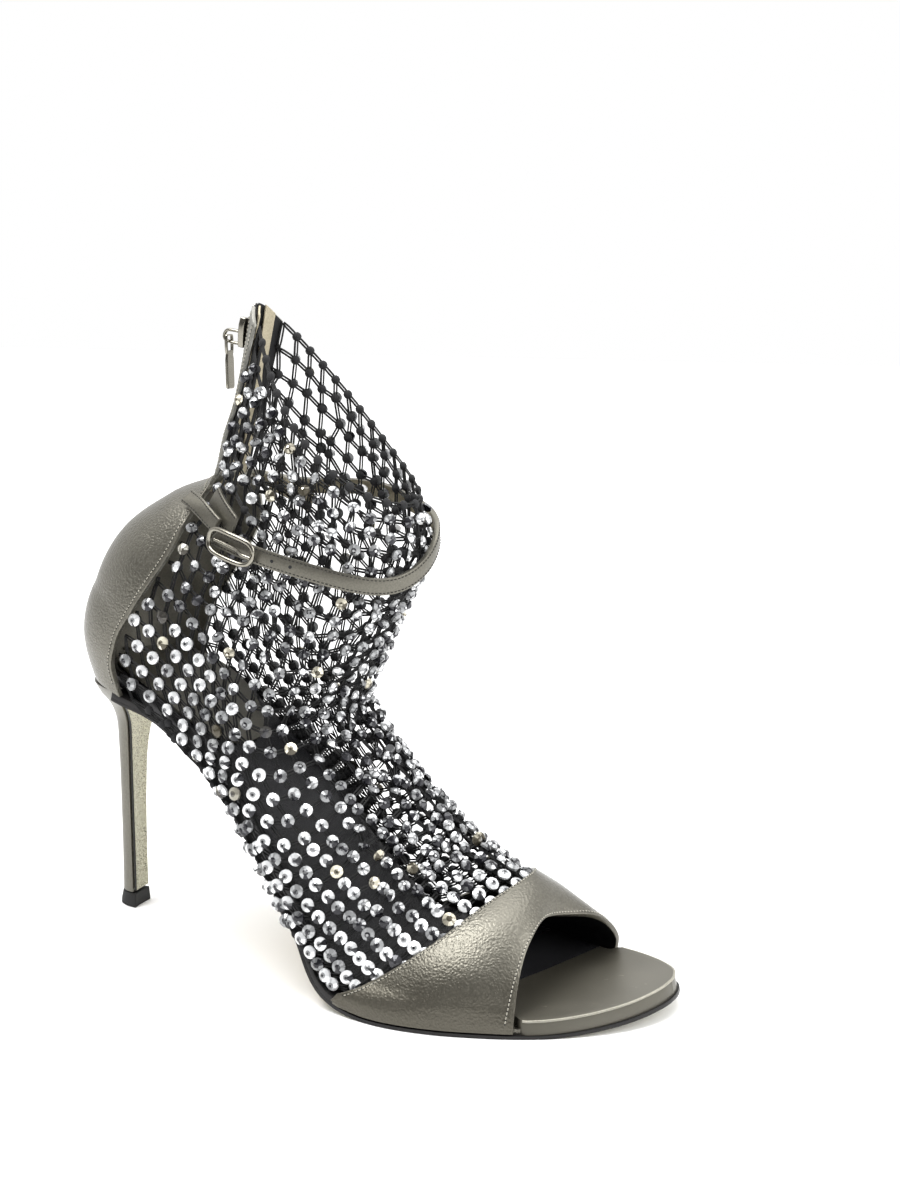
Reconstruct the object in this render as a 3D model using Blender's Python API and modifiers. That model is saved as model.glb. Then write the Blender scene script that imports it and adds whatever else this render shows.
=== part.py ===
"""Stiletto net sandal: peep-toe leather vamp, leather heel counter, open net upper
with a slack shaft, back zip, buckled ankle strap.  One right shoe.

Frame: +X toward the toe, +Z up, the lateral (outer) side faces -Y.
Origin: centre of the heel tip's tread, on the floor.  All sizes in metres.
"""
import math

import bmesh
import bpy
import numpy as np
from mathutils import Matrix, Vector

MM = 0.001

# Driving sizes
GAP = 0.3                       # running gap between neighbours (mm)
OUTSOLE_T = 3.0 * MM
INSOLE_T = 4.8 * MM
NET_T = 1.4 * MM
LEATHER_T = 1.8 * MM
FACING_T = 1.4 * MM
STRAP_W = 5.6 * MM
STRAP_T = 1.8 * MM
TAB_W = 4.8 * MM
PULL_LENGTH = 17.5 * MM
PULL_W = 4.4 * MM
PULL_T = 1.1 * MM
NET_COLS = 36                   # lattice columns round the upper (two a diamond)
NET_ROWS = 8                    # lattice rows from feather edge to hem
STRAND = 0.24                   # share of a diamond left as strand

# Sole outline seen from above (mm): x, y, from the heel back along each side to the toe tip
OUTLINE_LATERAL = [
    (-3.9, 0), (-2.4, -9.2), (2.0, -17.6), (9, -24), (18, -27.6), (30, -29.6), (50, -31.2),
    (70, -35.2), (85, -40.2), (100, -45.4), (115, -49), (130, -50.4), (145, -48.6),
    (158, -45), (170, -40.6), (182, -34.6), (193, -27), (202, -18.2), (207.8, -8.4), (209.6, -0.5)]
OUTLINE_MEDIAL = [
    (-3.9, 0), (-2.4, 9), (2.0, 17), (9, 23.4), (18, 26.6), (28, 27), (40, 25), (55, 22.6),
    (70, 22.3), (85, 24.8), (100, 29), (115, 33), (130, 35), (145, 34.6), (158, 32.4),
    (170, 28.6), (182, 24.4), (193, 19.6), (202, 13.2), (207.8, 6.4), (209.6, -0.5)]

# Feather line in side view (mm): x, height of the outsole's top
FEATHER = [
    (-10, 90.1), (0, 90.3), (10, 89.9), (20, 87.3), (30, 83), (40, 76.8), (50, 69.2), (60, 60.5),
    (70, 50.6), (80, 39.2), (90, 26.6), (97, 17.4), (104, 9.6), (110, 5.6), (116, 3.8),
    (122, 3.1), (128, 3.0), (140, 3.0), (160, 3.0), (178, 3.0), (190, 4.1), (200, 5.7), (209, 7.6)]

# Leather toe band: a row of points over the foot for each section (mm), outer face.
# Columns: lateral foot, side, shoulder, top, crest, medial top, shoulder, side, foot
BAND = {
    "rear": [(110, -46.9, 5.9), (123, -44.8, 12.0), (139, -37.2, 23.4), (151, -21.5, 33.2),
             (159, 1.0, 37.6), (150, 19.0, 31.0), (138, 28.8, 22.4), (124, 33.0, 13.2),
             (110, 31.6, 5.9)],
    "mid": [(140, -48.6, 3.4), (147, -46.0, 11.0), (155, -38.4, 21.6), (161, -24.6, 30.6),
            (165.6, -5.0, 34.2), (166.4, 11.0, 30.4), (163.6, 21.8, 23.2), (155, 30.6, 12.8),
            (145.5, 34.8, 3.4)],
    "front": [(169.5, -39.1, 3.4), (169.3, -38.3, 10.0), (169.0, -33.8, 18.2), (168.8, -25.0, 25.2),
              (169.8, -12.0, 28.9), (176.0, 3.0, 26.0), (180.4, 13.5, 20.4), (182.0, 22.6, 11.6),
              (181.0, 27.7, 3.4)]}

# Net loops from the feather edge (0) to the hem (8), mm: back x, z, front x, z,
# half width at the widest place, bulge of the heel cup, sag of the lateral and medial
# side below the chord, flatness of the back (1 round, 2 pinched at the zip)
LOOPS = {
    1: (-3.4, 110.5, 138.5, 46.4, 31.0, 1.2, 0.0, 0.0, 1.0),
    2: (1.4, 128.6, 122.6, 58.6, 29.5, 2.0, 0.0, 0.0, 1.0),
    3: (12.4, 143.8, 108.2, 72.2, 28.2, 2.0, 0.0, 0.0, 1.0),
    4: (29.2, 154.2, 97.2, 87.0, 26.8, 1.0, 0.0, 0.0, 1.05),
    5: (47.4, 162.0, 104.0, 105.0, 25.5, 0.0, 1.5, 1.0, 1.2),
    6: (52.8, 181.6, 112.6, 122.4, 24.5, 0.0, 4.0, 2.6, 1.35),
    7: (57.0, 201.4, 120.2, 138.6, 23.0, 0.0, 8.0, 4.6, 1.5),
    8: (60.8, 221.4, 118.8, 156.6, 21.5, 0.0, 12.5, 7.2, 1.7)}

CUP_BULGE = 2.2                 # how far the heel cup swells past its feather line (mm)

# Counter: its front edge, loop number against x (mm)
COUNTER_EDGE = [(0.0, 20.0), (0.6, 18.4), (1.2, 20.4), (2.0, 26.4), (3.0, 34.8), (4.0, 43.5),
                (4.6, 48.0), (5.0, 50.5)]

# Heel cover sections (mm): height, back x, breast x, half width
HEEL_SECTIONS = [
    (5.7, -2.8, 3.6, 4.2), (20, -2.4, 3.8, 4.2), (45, -1.9, 4.4, 4.6), (62, -1.6, 5.4, 5.6),
    (72, -1.4, 7.0, 7.8), (78.5, -1.6, 9.2, 12.6), (83.5, -2.4, 11.6, 18.6),
    (87.2, -3.6, 13.4, 23.4)]
# Rubber heel tip sections (mm): height, back x, front x, half width
TIP_SECTIONS = [(0, -4.1, 4.9, 4.8), (1.5, -4.0, 4.9, 4.75), (5.3, -3.0, 4.9, 4.35)]

# Anchor strap's mid-line: u round the upper, loop number, standoff (mm)
ANCHOR = [(0.077, 4.55, 6.1), (0.0885, 4.69, 6.0), (0.1013, 4.80, 5.7), (0.1198, 4.94, 5.2),
          (0.1385, 5.05, 5.0)]

# Buckle frame (mm)
BUCKLE_LENGTH = 20.5
BUCKLE_HEIGHT = 9.8
BUCKLE_WIRE = 0.85
BUCKLE_X = 69.0

# Slider and pull (mm)
PIVOT_DROP = 12.8               # hinge of the pull below the hem's back, and behind the net's back line
PIVOT_OUT = 9.99


# Start from an empty scene
for ob in list(bpy.data.objects):
    bpy.data.objects.remove(ob, do_unlink=True)
for me in list(bpy.data.meshes):
    bpy.data.meshes.remove(me)
collection = bpy.data.collections.new("net_sandal")
bpy.context.scene.collection.children.link(collection)


def material(name, colour, rough, metal=0.0):
    mat = bpy.data.materials.new(name)
    mat.use_nodes = True
    bsdf = mat.node_tree.nodes["Principled BSDF"]
    bsdf.inputs["Base Color"].default_value = (*colour, 1)
    bsdf.inputs["Roughness"].default_value = rough
    bsdf.inputs["Metallic"].default_value = metal
    mat.diffuse_color = (*colour, 1)
    return mat


MAT = {
    "leather": material("pewter_leather", (0.20, 0.195, 0.18), 0.42, 0.45),
    "net": material("black_net", (0.02, 0.02, 0.022), 0.7),
    "sock": material("black_satin", (0.012, 0.012, 0.013), 0.35),
    "pad": material("pewter_pad", (0.16, 0.155, 0.14), 0.45, 0.3),
    "sole": material("glitter_sole", (0.42, 0.41, 0.32), 0.5, 0.4),
    "rubber": material("rubber", (0.015, 0.015, 0.015), 0.7),
    "metal": material("ruthenium", (0.42, 0.40, 0.36), 0.25, 1.0)}


# Curve helpers
def spline(points, per_span=8, closed=False):
    """Centripetal Catmull-Rom curve through the points."""
    p = np.asarray(points, float)
    if closed:
        p = np.vstack([p[-1], p, p[0], p[1]])
    else:
        p = np.vstack([2 * p[0] - p[1], p, 2 * p[-1] - p[-2]])
    out = []
    for i in range(1, len(p) - 2):
        p0, p1, p2, p3 = p[i - 1:i + 3]
        t = [0.0]
        for a, b in ((p0, p1), (p1, p2), (p2, p3)):
            t.append(t[-1] + max(np.linalg.norm(b - a), 1e-9) ** 0.5)
        for s in np.linspace(t[1], t[2], per_span, endpoint=False):
            a1 = (t[1] - s) / (t[1] - t[0]) * p0 + (s - t[0]) / (t[1] - t[0]) * p1
            a2 = (t[2] - s) / (t[2] - t[1]) * p1 + (s - t[1]) / (t[2] - t[1]) * p2
            a3 = (t[3] - s) / (t[3] - t[2]) * p2 + (s - t[2]) / (t[3] - t[2]) * p3
            b1 = (t[2] - s) / (t[2] - t[0]) * a1 + (s - t[0]) / (t[2] - t[0]) * a2
            b2 = (t[3] - s) / (t[3] - t[1]) * a2 + (s - t[1]) / (t[3] - t[1]) * a3
            out.append((t[2] - s) / (t[2] - t[1]) * b1 + (s - t[1]) / (t[2] - t[1]) * b2)
    if not closed:
        out.append(p[-2])
    return np.array(out)


def resample(poly, n):
    """n points at equal arc length along a polyline."""
    d = np.r_[0, np.cumsum(np.linalg.norm(np.diff(poly, axis=0), axis=1))]
    s = np.linspace(0, d[-1], n)
    return np.stack([np.interp(s, d, poly[:, i]) for i in range(poly.shape[1])], -1)


def smooth(a, b, x):
    t = np.clip((x - a) / (b - a), 0, 1)
    return t * t * (3 - 2 * t)


LAT = spline(OUTLINE_LATERAL, 10)
MED = spline(OUTLINE_MEDIAL, 10)
FEA = spline(FEATHER, 8)


def y_lat(x):
    return np.interp(x, LAT[:, 0], LAT[:, 1])


def y_med(x):
    return np.interp(x, MED[:, 0], MED[:, 1])


def feather(x):
    return np.interp(x, FEA[:, 0], FEA[:, 1])


def feather_normal(x):
    """Unit normal (x, z) of the feather line, pointing up."""
    s = (feather(x + 0.5) - feather(x - 0.5)) / 1.0
    n = np.array([-s, 1.0])
    return n / np.linalg.norm(n)


def inset_outline(side, d):
    """One side of the sole outline moved inward by d (mm)."""
    p = (LAT if side < 0 else MED)
    t = np.gradient(p, axis=0)
    t /= np.linalg.norm(t, axis=1)[:, None]
    n = np.stack([-t[:, 1], t[:, 0]], -1) * (-side)
    q = p + n * np.asarray(d).reshape(-1, 1)
    return q


# The toe band's surface: w across (0 lateral foot, 1 medial foot), s from rear to front
BAND_ROWS = [spline(BAND[k], 10) for k in ("rear", "mid", "front")]


def band_raw(w, s):
    r = []
    for row in BAND_ROWS:
        i = np.clip(w, 0, 1) * (len(row) - 1)
        a = int(min(math.floor(i), len(row) - 2))
        r.append(row[a] * (1 - (i - a)) + row[a + 1] * (i - a))
    l0 = (s - 0.5) * (s - 1) / 0.5
    l1 = s * (s - 1) / -0.25
    l2 = s * (s - 0.5) / 0.5
    p = r[0] * l0 + r[1] * l1 + r[2] * l2
    if w < 0.12 or w > 0.88:
        e = min(w, 1 - w) / 0.12
        side = y_lat(p[0]) if w < 0.5 else y_med(p[0])
        p = np.array([p[0], p[1] * e + side * 0.997 * (1 - e), p[2]])
        low = feather(p[0]) + 0.6
        p[2] = max(p[2], low) if e > 0.02 else low
    return p


def band(w, s, off=0.0):
    p = band_raw(w, s)
    e = 0.01
    tw = band_raw(min(w + e, 1), s) - band_raw(max(w - e, 0), s)
    ts = band_raw(w, min(s + 0.03, 1)) - band_raw(w, max(s - 0.03, 0))
    n = np.cross(ts, tw)
    n /= np.linalg.norm(n)
    if w < 0.06 or w > 0.94:
        n[2] = 0
        n /= np.linalg.norm(n)
    return p + n * off


# The upper's surface: v from the feather edge (0) to the hem (1), u round from the
# back centre (0) along the lateral side to the front (0.5) and back along the medial side
HALF_COLS = 40                  # points along half a loop
UNDER_BAND = 0.05
BAND_INSET = 3.2


def base_half(side):
    """Feather edge from the heel back to the band, then over the foot under the band."""
    q = inset_outline(side, 0)
    x = q[:, 0]
    d = 2.4 * (1 - smooth(20, 30, x)) + 2.6 * smooth(92, 106, x)
    q = inset_outline(side, d)
    q = q[(LAT if side < 0 else MED)[:, 0] < 108]
    pts = [(a, b, feather(a) + 0.8) for a, b in q]
    pts[0] = (pts[0][0], 0.0, pts[0][2])
    w = np.linspace(0.035, 0.5, 24)
    w = w if side < 0 else 1 - w
    pts += [tuple(band(a, UNDER_BAND, -BAND_INSET)) for a in w]
    p = np.array(pts)
    p = p[np.r_[True, np.linalg.norm(np.diff(p, axis=0), axis=1) > 1e-6]]
    return p


BASE = {-1: base_half(-1), 1: base_half(1)}


def loop_half(k, side):
    """Half a loop of the net: a chord from back to front with sag and width."""
    if k == 0:
        return resample(BASE[side], HALF_COLS)
    bx, bz, fx, fz, wide, bulge, sag_l, sag_m, pinch = LOOPS[k]
    base = BASE[side]
    t = np.linspace(0, 1, 161)
    t = 0.5 - 0.5 * np.cos(np.pi * t)
    x0 = base[0, 0] + (base[-1, 0] - base[0, 0]) * t
    order = np.argsort(base[:, 0])
    bz0 = np.interp(x0, base[order, 0], base[order, 2])
    by0 = np.interp(x0, base[order, 0], np.abs(base[order, 1]))
    chord0 = base[0, 2] + (base[-1, 2] - base[0, 2]) * t
    g = (1 - k / 8) ** 1.5
    x = bx + (fx - bx) * t
    sag = sag_l if side < 0 else sag_m
    z = bz + (fz - bz) * t + (bz0 - chord0) * g - sag * 4 * t * (1 - t)
    ring = np.clip(4 * t * (1 - t), 0, 1) ** np.where(t < 0.5, 0.5 * pinch, 0.5) * wide
    f = (1 - k / 8) ** 1.25
    y = by0 * f + ring * (1 - f) + bulge * np.exp(-((t - 0.13) / 0.12) ** 2) * (t > 0) * np.sqrt(
        np.clip(t / 0.05, 0, 1))
    y[0] = 0
    y[-1] = 0
    return resample(np.stack([x, side * y, z], -1), HALF_COLS)


def full_loop(k):
    a = loop_half(k, -1)
    b = loop_half(k, 1)
    return np.vstack([a, b[::-1][1:-1]])


GRID = np.array([full_loop(k) for k in range(NET_ROWS + 1)])
N_AROUND = GRID.shape[1]


def smooth_rows(g, passes):
    for _ in range(passes):
        m = g.copy()
        m[:, :] = 0.5 * g + 0.25 * np.roll(g, 1, axis=1) + 0.25 * np.roll(g, -1, axis=1)
        m[0] = g[0]
        g = m
    return g


GRID = smooth_rows(GRID, 3)


def upper_raw(u, v):
    u = u % 1.0
    i = u * N_AROUND
    a = int(math.floor(i)) % N_AROUND
    f = i - math.floor(i)
    cols = []
    for c, wt in ((a - 1, -0.5 * f + f * f - 0.5 * f ** 3), (a, 1 - 2.5 * f * f + 1.5 * f ** 3),
                  (a + 1, 0.5 * f + 2 * f * f - 1.5 * f ** 3), (a + 2, -0.5 * f * f + 0.5 * f ** 3)):
        cols.append(GRID[:, c % N_AROUND] * wt)
    col = sum(cols)
    r = min(max(v, 0.0), 1.0) * NET_ROWS
    j = min(int(math.floor(r)), NET_ROWS - 1)
    g = r - j
    p1, p2 = col[j], col[j + 1]
    p0 = col[j - 1] if j > 0 else 2 * p1 - p2
    p3 = col[j + 2] if j + 2 <= NET_ROWS else 2 * p2 - p1
    p = (p0 * (-0.5 * g + g * g - 0.5 * g ** 3) + p1 * (1 - 2.5 * g * g + 1.5 * g ** 3)
         + p2 * (0.5 * g + 2 * g * g - 1.5 * g ** 3) + p3 * (-0.5 * g * g + 0.5 * g ** 3))
    if r < 1.8:
        out = np.array([p[0] - 24.0, p[1], 0.0])
        cup = CUP_BULGE * math.sin(math.pi * r / 1.8) ** 0.8 * (1 - smooth(4, 26, p[0]))
        p = p + out / max(np.linalg.norm(out), 1.0) * cup
    return p


def upper_normal(u, v):
    e = 0.006
    tu = upper_raw(u + e, v) - upper_raw(u - e, v)
    tv = upper_raw(u, min(v + 0.02, 1)) - upper_raw(u, max(v - 0.02, 0))
    n = np.cross(tu, tv)
    return n / np.linalg.norm(n)


def upper(u, v, off=0.0):
    p = upper_raw(u, v)
    return p + upper_normal(u, v) * off if off else p


def u_at_x(x, v, side):
    """Where a loop reaches a given x on one side."""
    lo, hi = 0.0, 0.5
    for _ in range(30):
        m = 0.5 * (lo + hi)
        if upper_raw(m if side < 0 else 1 - m, v)[0] < x:
            lo = m
        else:
            hi = m
    m = 0.5 * (lo + hi)
    return m if side < 0 else 1 - m


# Mesh helpers
def link(name, mesh, mat, smooth_deg=None):
    ob = bpy.data.objects.new(name, mesh)
    collection.objects.link(ob)
    ob.data.materials.append(MAT[mat])
    if smooth_deg:
        mesh.shade_smooth()
        mesh.set_sharp_from_angle(angle=math.radians(smooth_deg))
    return ob


def grid_mesh(name, rows, closed=False):
    """An open surface through rows of points in mm."""
    bm = bmesh.new()
    vs = [[bm.verts.new(Vector(p) * MM) for p in row] for row in rows]
    n = len(vs[0])
    for a, b in zip(vs[:-1], vs[1:]):
        for j in range(n if closed else n - 1):
            bm.faces.new((a[j], a[(j + 1) % n], b[(j + 1) % n], b[j]))
    me = bpy.data.meshes.new(name)
    bm.to_mesh(me)
    bm.free()
    return me


def shell(name, rows, thickness, mat, flip=False, closed=False, smooth_deg=50):
    """A wall: the rows are its outer face, thickened inward."""
    if flip:
        rows = [list(r)[::-1] for r in rows]
    ob = link(name, grid_mesh(name, rows, closed), mat, smooth_deg)
    sol = ob.modifiers.new("wall", "SOLIDIFY")
    sol.thickness = thickness
    sol.offset = -1
    return ob


def loft(name, rings, mat, smooth_deg=40):
    """A closed solid through rings of points (mm), capped at both ends."""
    bm = bmesh.new()
    vs = [[bm.verts.new(Vector(p) * MM) for p in r] for r in rings]
    n = len(vs[0])
    for a, b in zip(vs[:-1], vs[1:]):
        for j in range(n):
            bm.faces.new((a[j], a[(j + 1) % n], b[(j + 1) % n], b[j]))
    for ring, turn in ((vs[0], True), (vs[-1], False)):
        c = bm.verts.new(sum((v.co for v in ring), Vector()) / n)
        for j in range(n):
            f = (c, ring[(j + 1) % n], ring[j]) if turn else (c, ring[j], ring[(j + 1) % n])
            bm.faces.new(f)
    bmesh.ops.recalc_face_normals(bm, faces=bm.faces)
    me = bpy.data.meshes.new(name)
    bm.to_mesh(me)
    bm.free()
    return link(name, me, mat, smooth_deg)


# x stations shared by the sheets of the sole, close together in the bend of the waist (mm)
BEND_X = [8, 14, 20, 28, 38, 48, 58, 68, 78, 86, 92, 97, 101, 105, 109, 113, 118, 125, 136, 148, 160,
          171, 180]


def stations(x0, x1, n_end=5):
    """Shared x stations, with closer ones of its own toward the rounded toe."""
    e = [1 - math.cos(math.pi / 2 * i / n_end) for i in range(1, n_end)]
    tail = [x1 - 24 * v for v in e][::-1]
    return [x0] + [x for x in BEND_X if x0 + 2 < x < tail[0] - 1] + tail + [x1]


def sole_sheet(name, x0, x1, inset, lift, thickness, mat, across=5, waist=(0, 0)):
    """A slab that follows the feather line and the outline."""
    la = inset_outline(-1, inset(LAT[:, 0], waist[0]))
    me = inset_outline(1, inset(MED[:, 0], waist[1]))
    rows = []
    for x in stations(x0, x1):
        yl = np.interp(x, la[:, 0], la[:, 1])
        ym = np.interp(x, me[:, 0], me[:, 1])
        nx, nz = feather_normal(x)
        z = feather(x)
        rows.append([(x + nx * lift, yl + (ym - yl) * j / (across - 1), z + nz * lift)
                     for j in range(across)])
    return shell(name, rows, thickness * MM, mat, flip=True)


# 1 outsole: thin leather sole with the glitter waist
def outsole_inset(x, waist):
    return 0.35 + waist * smooth(14, 34, x) * (1 - smooth(88, 108, x))


outsole = sole_sheet("outsole", 15.2, 209.0, outsole_inset, 0.0, OUTSOLE_T / MM, "sole",
                     waist=(5.0, 1.6))


# 2 insole board, wrapped in leather at the open toe
INSOLE_EDGE = 0.7               # step from the outsole's edge to the wrapped edge (mm)
INSOLE_UNDER = 4.0              # further in where the upper covers it
BAND_LATERAL_X = 170.5          # front foot of the toe band, lateral and medial
BAND_MEDIAL_X = 182.5
WRAP_RUN = 6.0                  # length over which the wrapped edge comes out
BALL_FROM, BALL_TO = 100.0, 160.0
BALL_RISE, BALL_FALL = 12.0, 18.0
BALL_INSET = 3.0                # room for the band's feet beside the ball


def insole_inset(x, band_end):
    covered = 1 - smooth(band_end, band_end + WRAP_RUN, x)
    return (INSOLE_EDGE + INSOLE_UNDER * covered + 1.0 * (1 - smooth(15, 40, x))
            + BALL_INSET * smooth(BALL_FROM, BALL_FROM + BALL_RISE, x)
            * (1 - smooth(BALL_TO - BALL_FALL, BALL_TO, x)))


insole = sole_sheet("insole", 1.8, 208.6, insole_inset, 0.4 + INSOLE_T / MM, INSOLE_T / MM, "sock",
                    waist=(BAND_LATERAL_X, BAND_MEDIAL_X))


# 3 seat pad on the insole
def pad_rows():
    la = inset_outline(-1, insole_inset(LAT[:, 0], BAND_LATERAL_X) + 1.6)
    me = inset_outline(1, insole_inset(MED[:, 0], BAND_LATERAL_X) + 1.6)
    rows = []
    lift = 0.4 + INSOLE_T / MM + GAP + 1.0
    for i in range(11):
        t = i / 10
        x = 1.4 + 52 * (t ** 1.3)
        yl = np.interp(x, la[:, 0], la[:, 1])
        ym = np.interp(x, me[:, 0], me[:, 1])
        mid = 0.5 * (yl + ym)
        k = math.sqrt(max(0.0, 1 - max(0.0, (x - 34) / 19.8) ** 2))
        nx, nz = feather_normal(x)
        rows.append([(x + nx * lift, mid + (yl - mid) * k + (ym - yl) * k * j / 4, feather(x) + nz * lift)
                     for j in range(5)])
    return rows


seat_pad = shell("seat_pad", pad_rows(), 1.0 * MM, "pad", flip=True)


# 4 toe band of the vamp
S_ROWS = np.linspace(0, 1, 7)
W_COLS = np.linspace(0, 1, 29)
vamp_band = shell("vamp_band", [[band(w, s) for w in W_COLS] for s in S_ROWS],
                  LEATHER_T, "leather", flip=True)


# 5 net upper: one wall, its diamonds cut as gaps
def lattice_point(i, j):
    return (i / NET_COLS, j / NET_ROWS)


def counter_x(k):
    t = np.array(COUNTER_EDGE)
    return np.interp(k, t[:, 0], t[:, 1])


def under_counter(u, v, margin=0.0):
    p = upper_raw(u, v)
    k = v * NET_ROWS
    if k > 5.0:
        return min(u % 1, 1 - u % 1) < 0.055
    return p[0] < counter_x(k) + margin


def net_mesh():
    bm = bmesh.new()
    cache = {}

    def vert(u, v):
        key = (round((u % 1.0) * 1e5) % 100000, round(v * 1e5))
        if key not in cache:
            cache[key] = bm.verts.new(Vector(upper(u, v)) * MM)
        return cache[key]

    def between(a, b, n):
        return [(a[0] + (b[0] - a[0]) * t / n, a[1] + (b[1] - a[1]) * t / n) for t in range(n)]

    gaps = 0
    for j in range(NET_ROWS + 1):
        for i in range(NET_COLS):
            if (i + j) % 2 == 0:
                continue
            c = lattice_point(i, j)
            west, east = lattice_point(i - 1, j), lattice_point(i + 1, j)
            south, north = lattice_point(i, j - 1), lattice_point(i, j + 1)
            if j == 0:
                ring = between(west, east, 4) + between(east, north, 2) + between(north, west, 2)
            elif j == NET_ROWS:
                ring = between(west, south, 2) + between(south, east, 2) + between(east, west, 4)
            else:
                ring = (between(west, south, 2) + between(south, east, 2)
                        + between(east, north, 2) + between(north, west, 2))
            edge = [vert(*p) for p in ring]
            n = len(edge)
            hole = 0 < j < NET_ROWS and not under_counter(c[0], c[1], 7.0)
            if hole:
                gaps += 1
                inner = [(c[0] + (p[0] - c[0]) * (1 - STRAND), c[1] + (p[1] - c[1]) * (1 - STRAND))
                         for p in ring]
                core = [vert(*p) for p in inner]
                for a in range(n):
                    b = (a + 1) % n
                    bm.faces.new((edge[a], edge[b], core[b], core[a]))
            else:
                cv = c[1] + (0.34 / NET_ROWS if j == 0 else -0.34 / NET_ROWS if j == NET_ROWS else 0)
                centre = vert(c[0], cv)
                for a in range(n):
                    b = (a + 1) % n
                    bm.faces.new((edge[a], edge[b], centre))
    me = bpy.data.meshes.new("net_upper")
    bm.to_mesh(me)
    bm.free()
    return me, gaps


net_me, GAPS = net_mesh()
net_upper = link("net_upper", net_me, "net")
sol = net_upper.modifiers.new("wall", "SOLIDIFY")
sol.thickness = NET_T
sol.offset = -1
print("gaps cut in the net:", GAPS)

# 6 counter, a leather cup over the net
COUNTER_OFF = GAP + 0.4 + LEATHER_T / MM
rows = []
for k in np.linspace(0.0, 5.0, 13):
    v = k / NET_ROWS
    x = counter_x(k)
    a = u_at_x(x, v, -1)
    b = 1 - u_at_x(x, v, 1)
    foot = np.array([0, 0, 0.15 * (1 - smooth(0.0, 0.5, k))])
    off = COUNTER_OFF + 0.6 * math.exp(-((k - 4.5) / 0.5) ** 2)
    rows.append([upper(u, v, off) + foot for u in np.linspace(-b, a, 19)])
counter = shell("counter", rows, LEATHER_T, "leather")


# 7 zip: two facings and the chain between them, over the net's back
def strip(name, u_edges, k0, k1, off, thickness, mat, n=9, across=3):
    rows = []
    for k in np.linspace(k0, k1, n):
        v = k / NET_ROWS
        a, b = (f(v) for f in u_edges)
        low = off + 1.1 * (1 - smooth(5.5, 6.5, k))
        rows.append([upper(a + (b - a) * j / (across - 1), v, low) for j in range(across)])
    return shell(name, rows, thickness, mat)


def u_arc(mm):
    """u that lies a given arc length from the back centre, + lateral, - medial."""
    def f(v):
        s = 0.02
        p, q = upper_raw(0, v), upper_raw(s, v)
        return mm / max(np.linalg.norm(q - p) / s, 1e-6)
    return f


strip("zip_facing_lateral", (u_arc(3.1), u_arc(9.6)), 5.12, 7.98, GAP + 1.4, FACING_T, "leather")
strip("zip_facing_medial", (u_arc(-9.6), u_arc(-3.1)), 5.12, 7.98, GAP + 1.4, FACING_T, "leather")
strip("zip_chain", (u_arc(-1.9), u_arc(1.9)), 5.2, 7.95, GAP + 1.5, 1.5 * MM, "metal")


# 8 slider with its bail, and the pull tab that hangs in it
def box_bm(bm, lo, hi):
    r = bmesh.ops.create_cube(bm, size=1.0)
    for v in r["verts"]:
        v.co = Vector([(lo[i] + (v.co[i] + 0.5) * (hi[i] - lo[i])) * MM for i in range(3)])


def union(name, solids, mat):
    """Join primitive solids into one with exact booleans."""
    base = solids[0]
    for other in solids[1:]:
        mod = base.modifiers.new("join", "BOOLEAN")
        mod.operation = "UNION"
        mod.object = other
    dg = bpy.context.evaluated_depsgraph_get()
    me = bpy.data.meshes.new_from_object(base.evaluated_get(dg))
    for ob in solids:
        bpy.data.objects.remove(ob, do_unlink=True)
    return link(name, me, mat, 30)


def box(name, lo, hi):
    bm = bmesh.new()
    box_bm(bm, lo, hi)
    me = bpy.data.meshes.new(name)
    bm.to_mesh(me)
    bm.free()
    ob = bpy.data.objects.new(name, me)
    collection.objects.link(ob)
    ob.data.materials.append(MAT["metal"])
    return ob


def back_x(z):
    """x of the net's back line at a height."""
    zs = [upper_raw(0, k / NET_ROWS) for k in np.linspace(5, 8, 13)]
    return float(np.interp(z, [p[2] for p in zs], [p[0] for p in zs]))


def turned(ob, at, angle):
    ob.data.transform(Matrix.Translation(Vector(at) * MM) @ Matrix.Rotation(angle, 4, "Y"))
    return ob


PIVOT_Z = LOOPS[NET_ROWS][1] - PIVOT_DROP
PIVOT_X = back_x(PIVOT_Z) - PIVOT_OUT
PIVOT = (PIVOT_X, 0.0, PIVOT_Z)
LEAN = math.atan2(back_x(PIVOT_Z + 5.4) - back_x(PIVOT_Z - 4.6), 10.0)
REACH = PIVOT_OUT * math.cos(LEAN) - GAP - 1.5 - 0.35
slider_parts = [turned(box(n, lo, hi), PIVOT, LEAN) for n, lo, hi in (
    ("s0", (REACH - 2.2, -4.2, -2.4), (REACH, 4.2, 7.6)),
    ("s1", (-1.9, -0.8, -1.95), (REACH - 1.0, 0.8, -1.05)),
    ("s2", (-1.9, -0.8, 1.15), (REACH - 1.0, 0.8, 2.05)),
    ("s3", (-1.95, -0.8, -1.6), (-1.05, 0.8, 1.7)))]
slider = union("zip_slider", slider_parts, "metal")

pull_parts = [
    box("p0", (PIVOT_X - PULL_T / MM / 2, -PULL_W / MM / 2, PIVOT_Z - 0.55),
        (PIVOT_X + PULL_T / MM / 2, PULL_W / MM / 2, PIVOT_Z + 0.55)),
    box("p1", (PIVOT_X - PULL_T / MM / 2, -PULL_W / MM / 2, PIVOT_Z - 5.0),
        (PIVOT_X + PULL_T / MM / 2, -1.2, PIVOT_Z + 0.3)),
    box("p2", (PIVOT_X - PULL_T / MM / 2, 1.2, PIVOT_Z - 5.0),
        (PIVOT_X + PULL_T / MM / 2, PULL_W / MM / 2, PIVOT_Z + 0.3)),
    box("p3", (PIVOT_X - PULL_T / MM / 2, -PULL_W / MM / 2, PIVOT_Z - PULL_LENGTH / MM),
        (PIVOT_X + PULL_T / MM / 2, PULL_W / MM / 2, PIVOT_Z - 3.6))]
pull = union("zip_pull", pull_parts, "metal")
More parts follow.
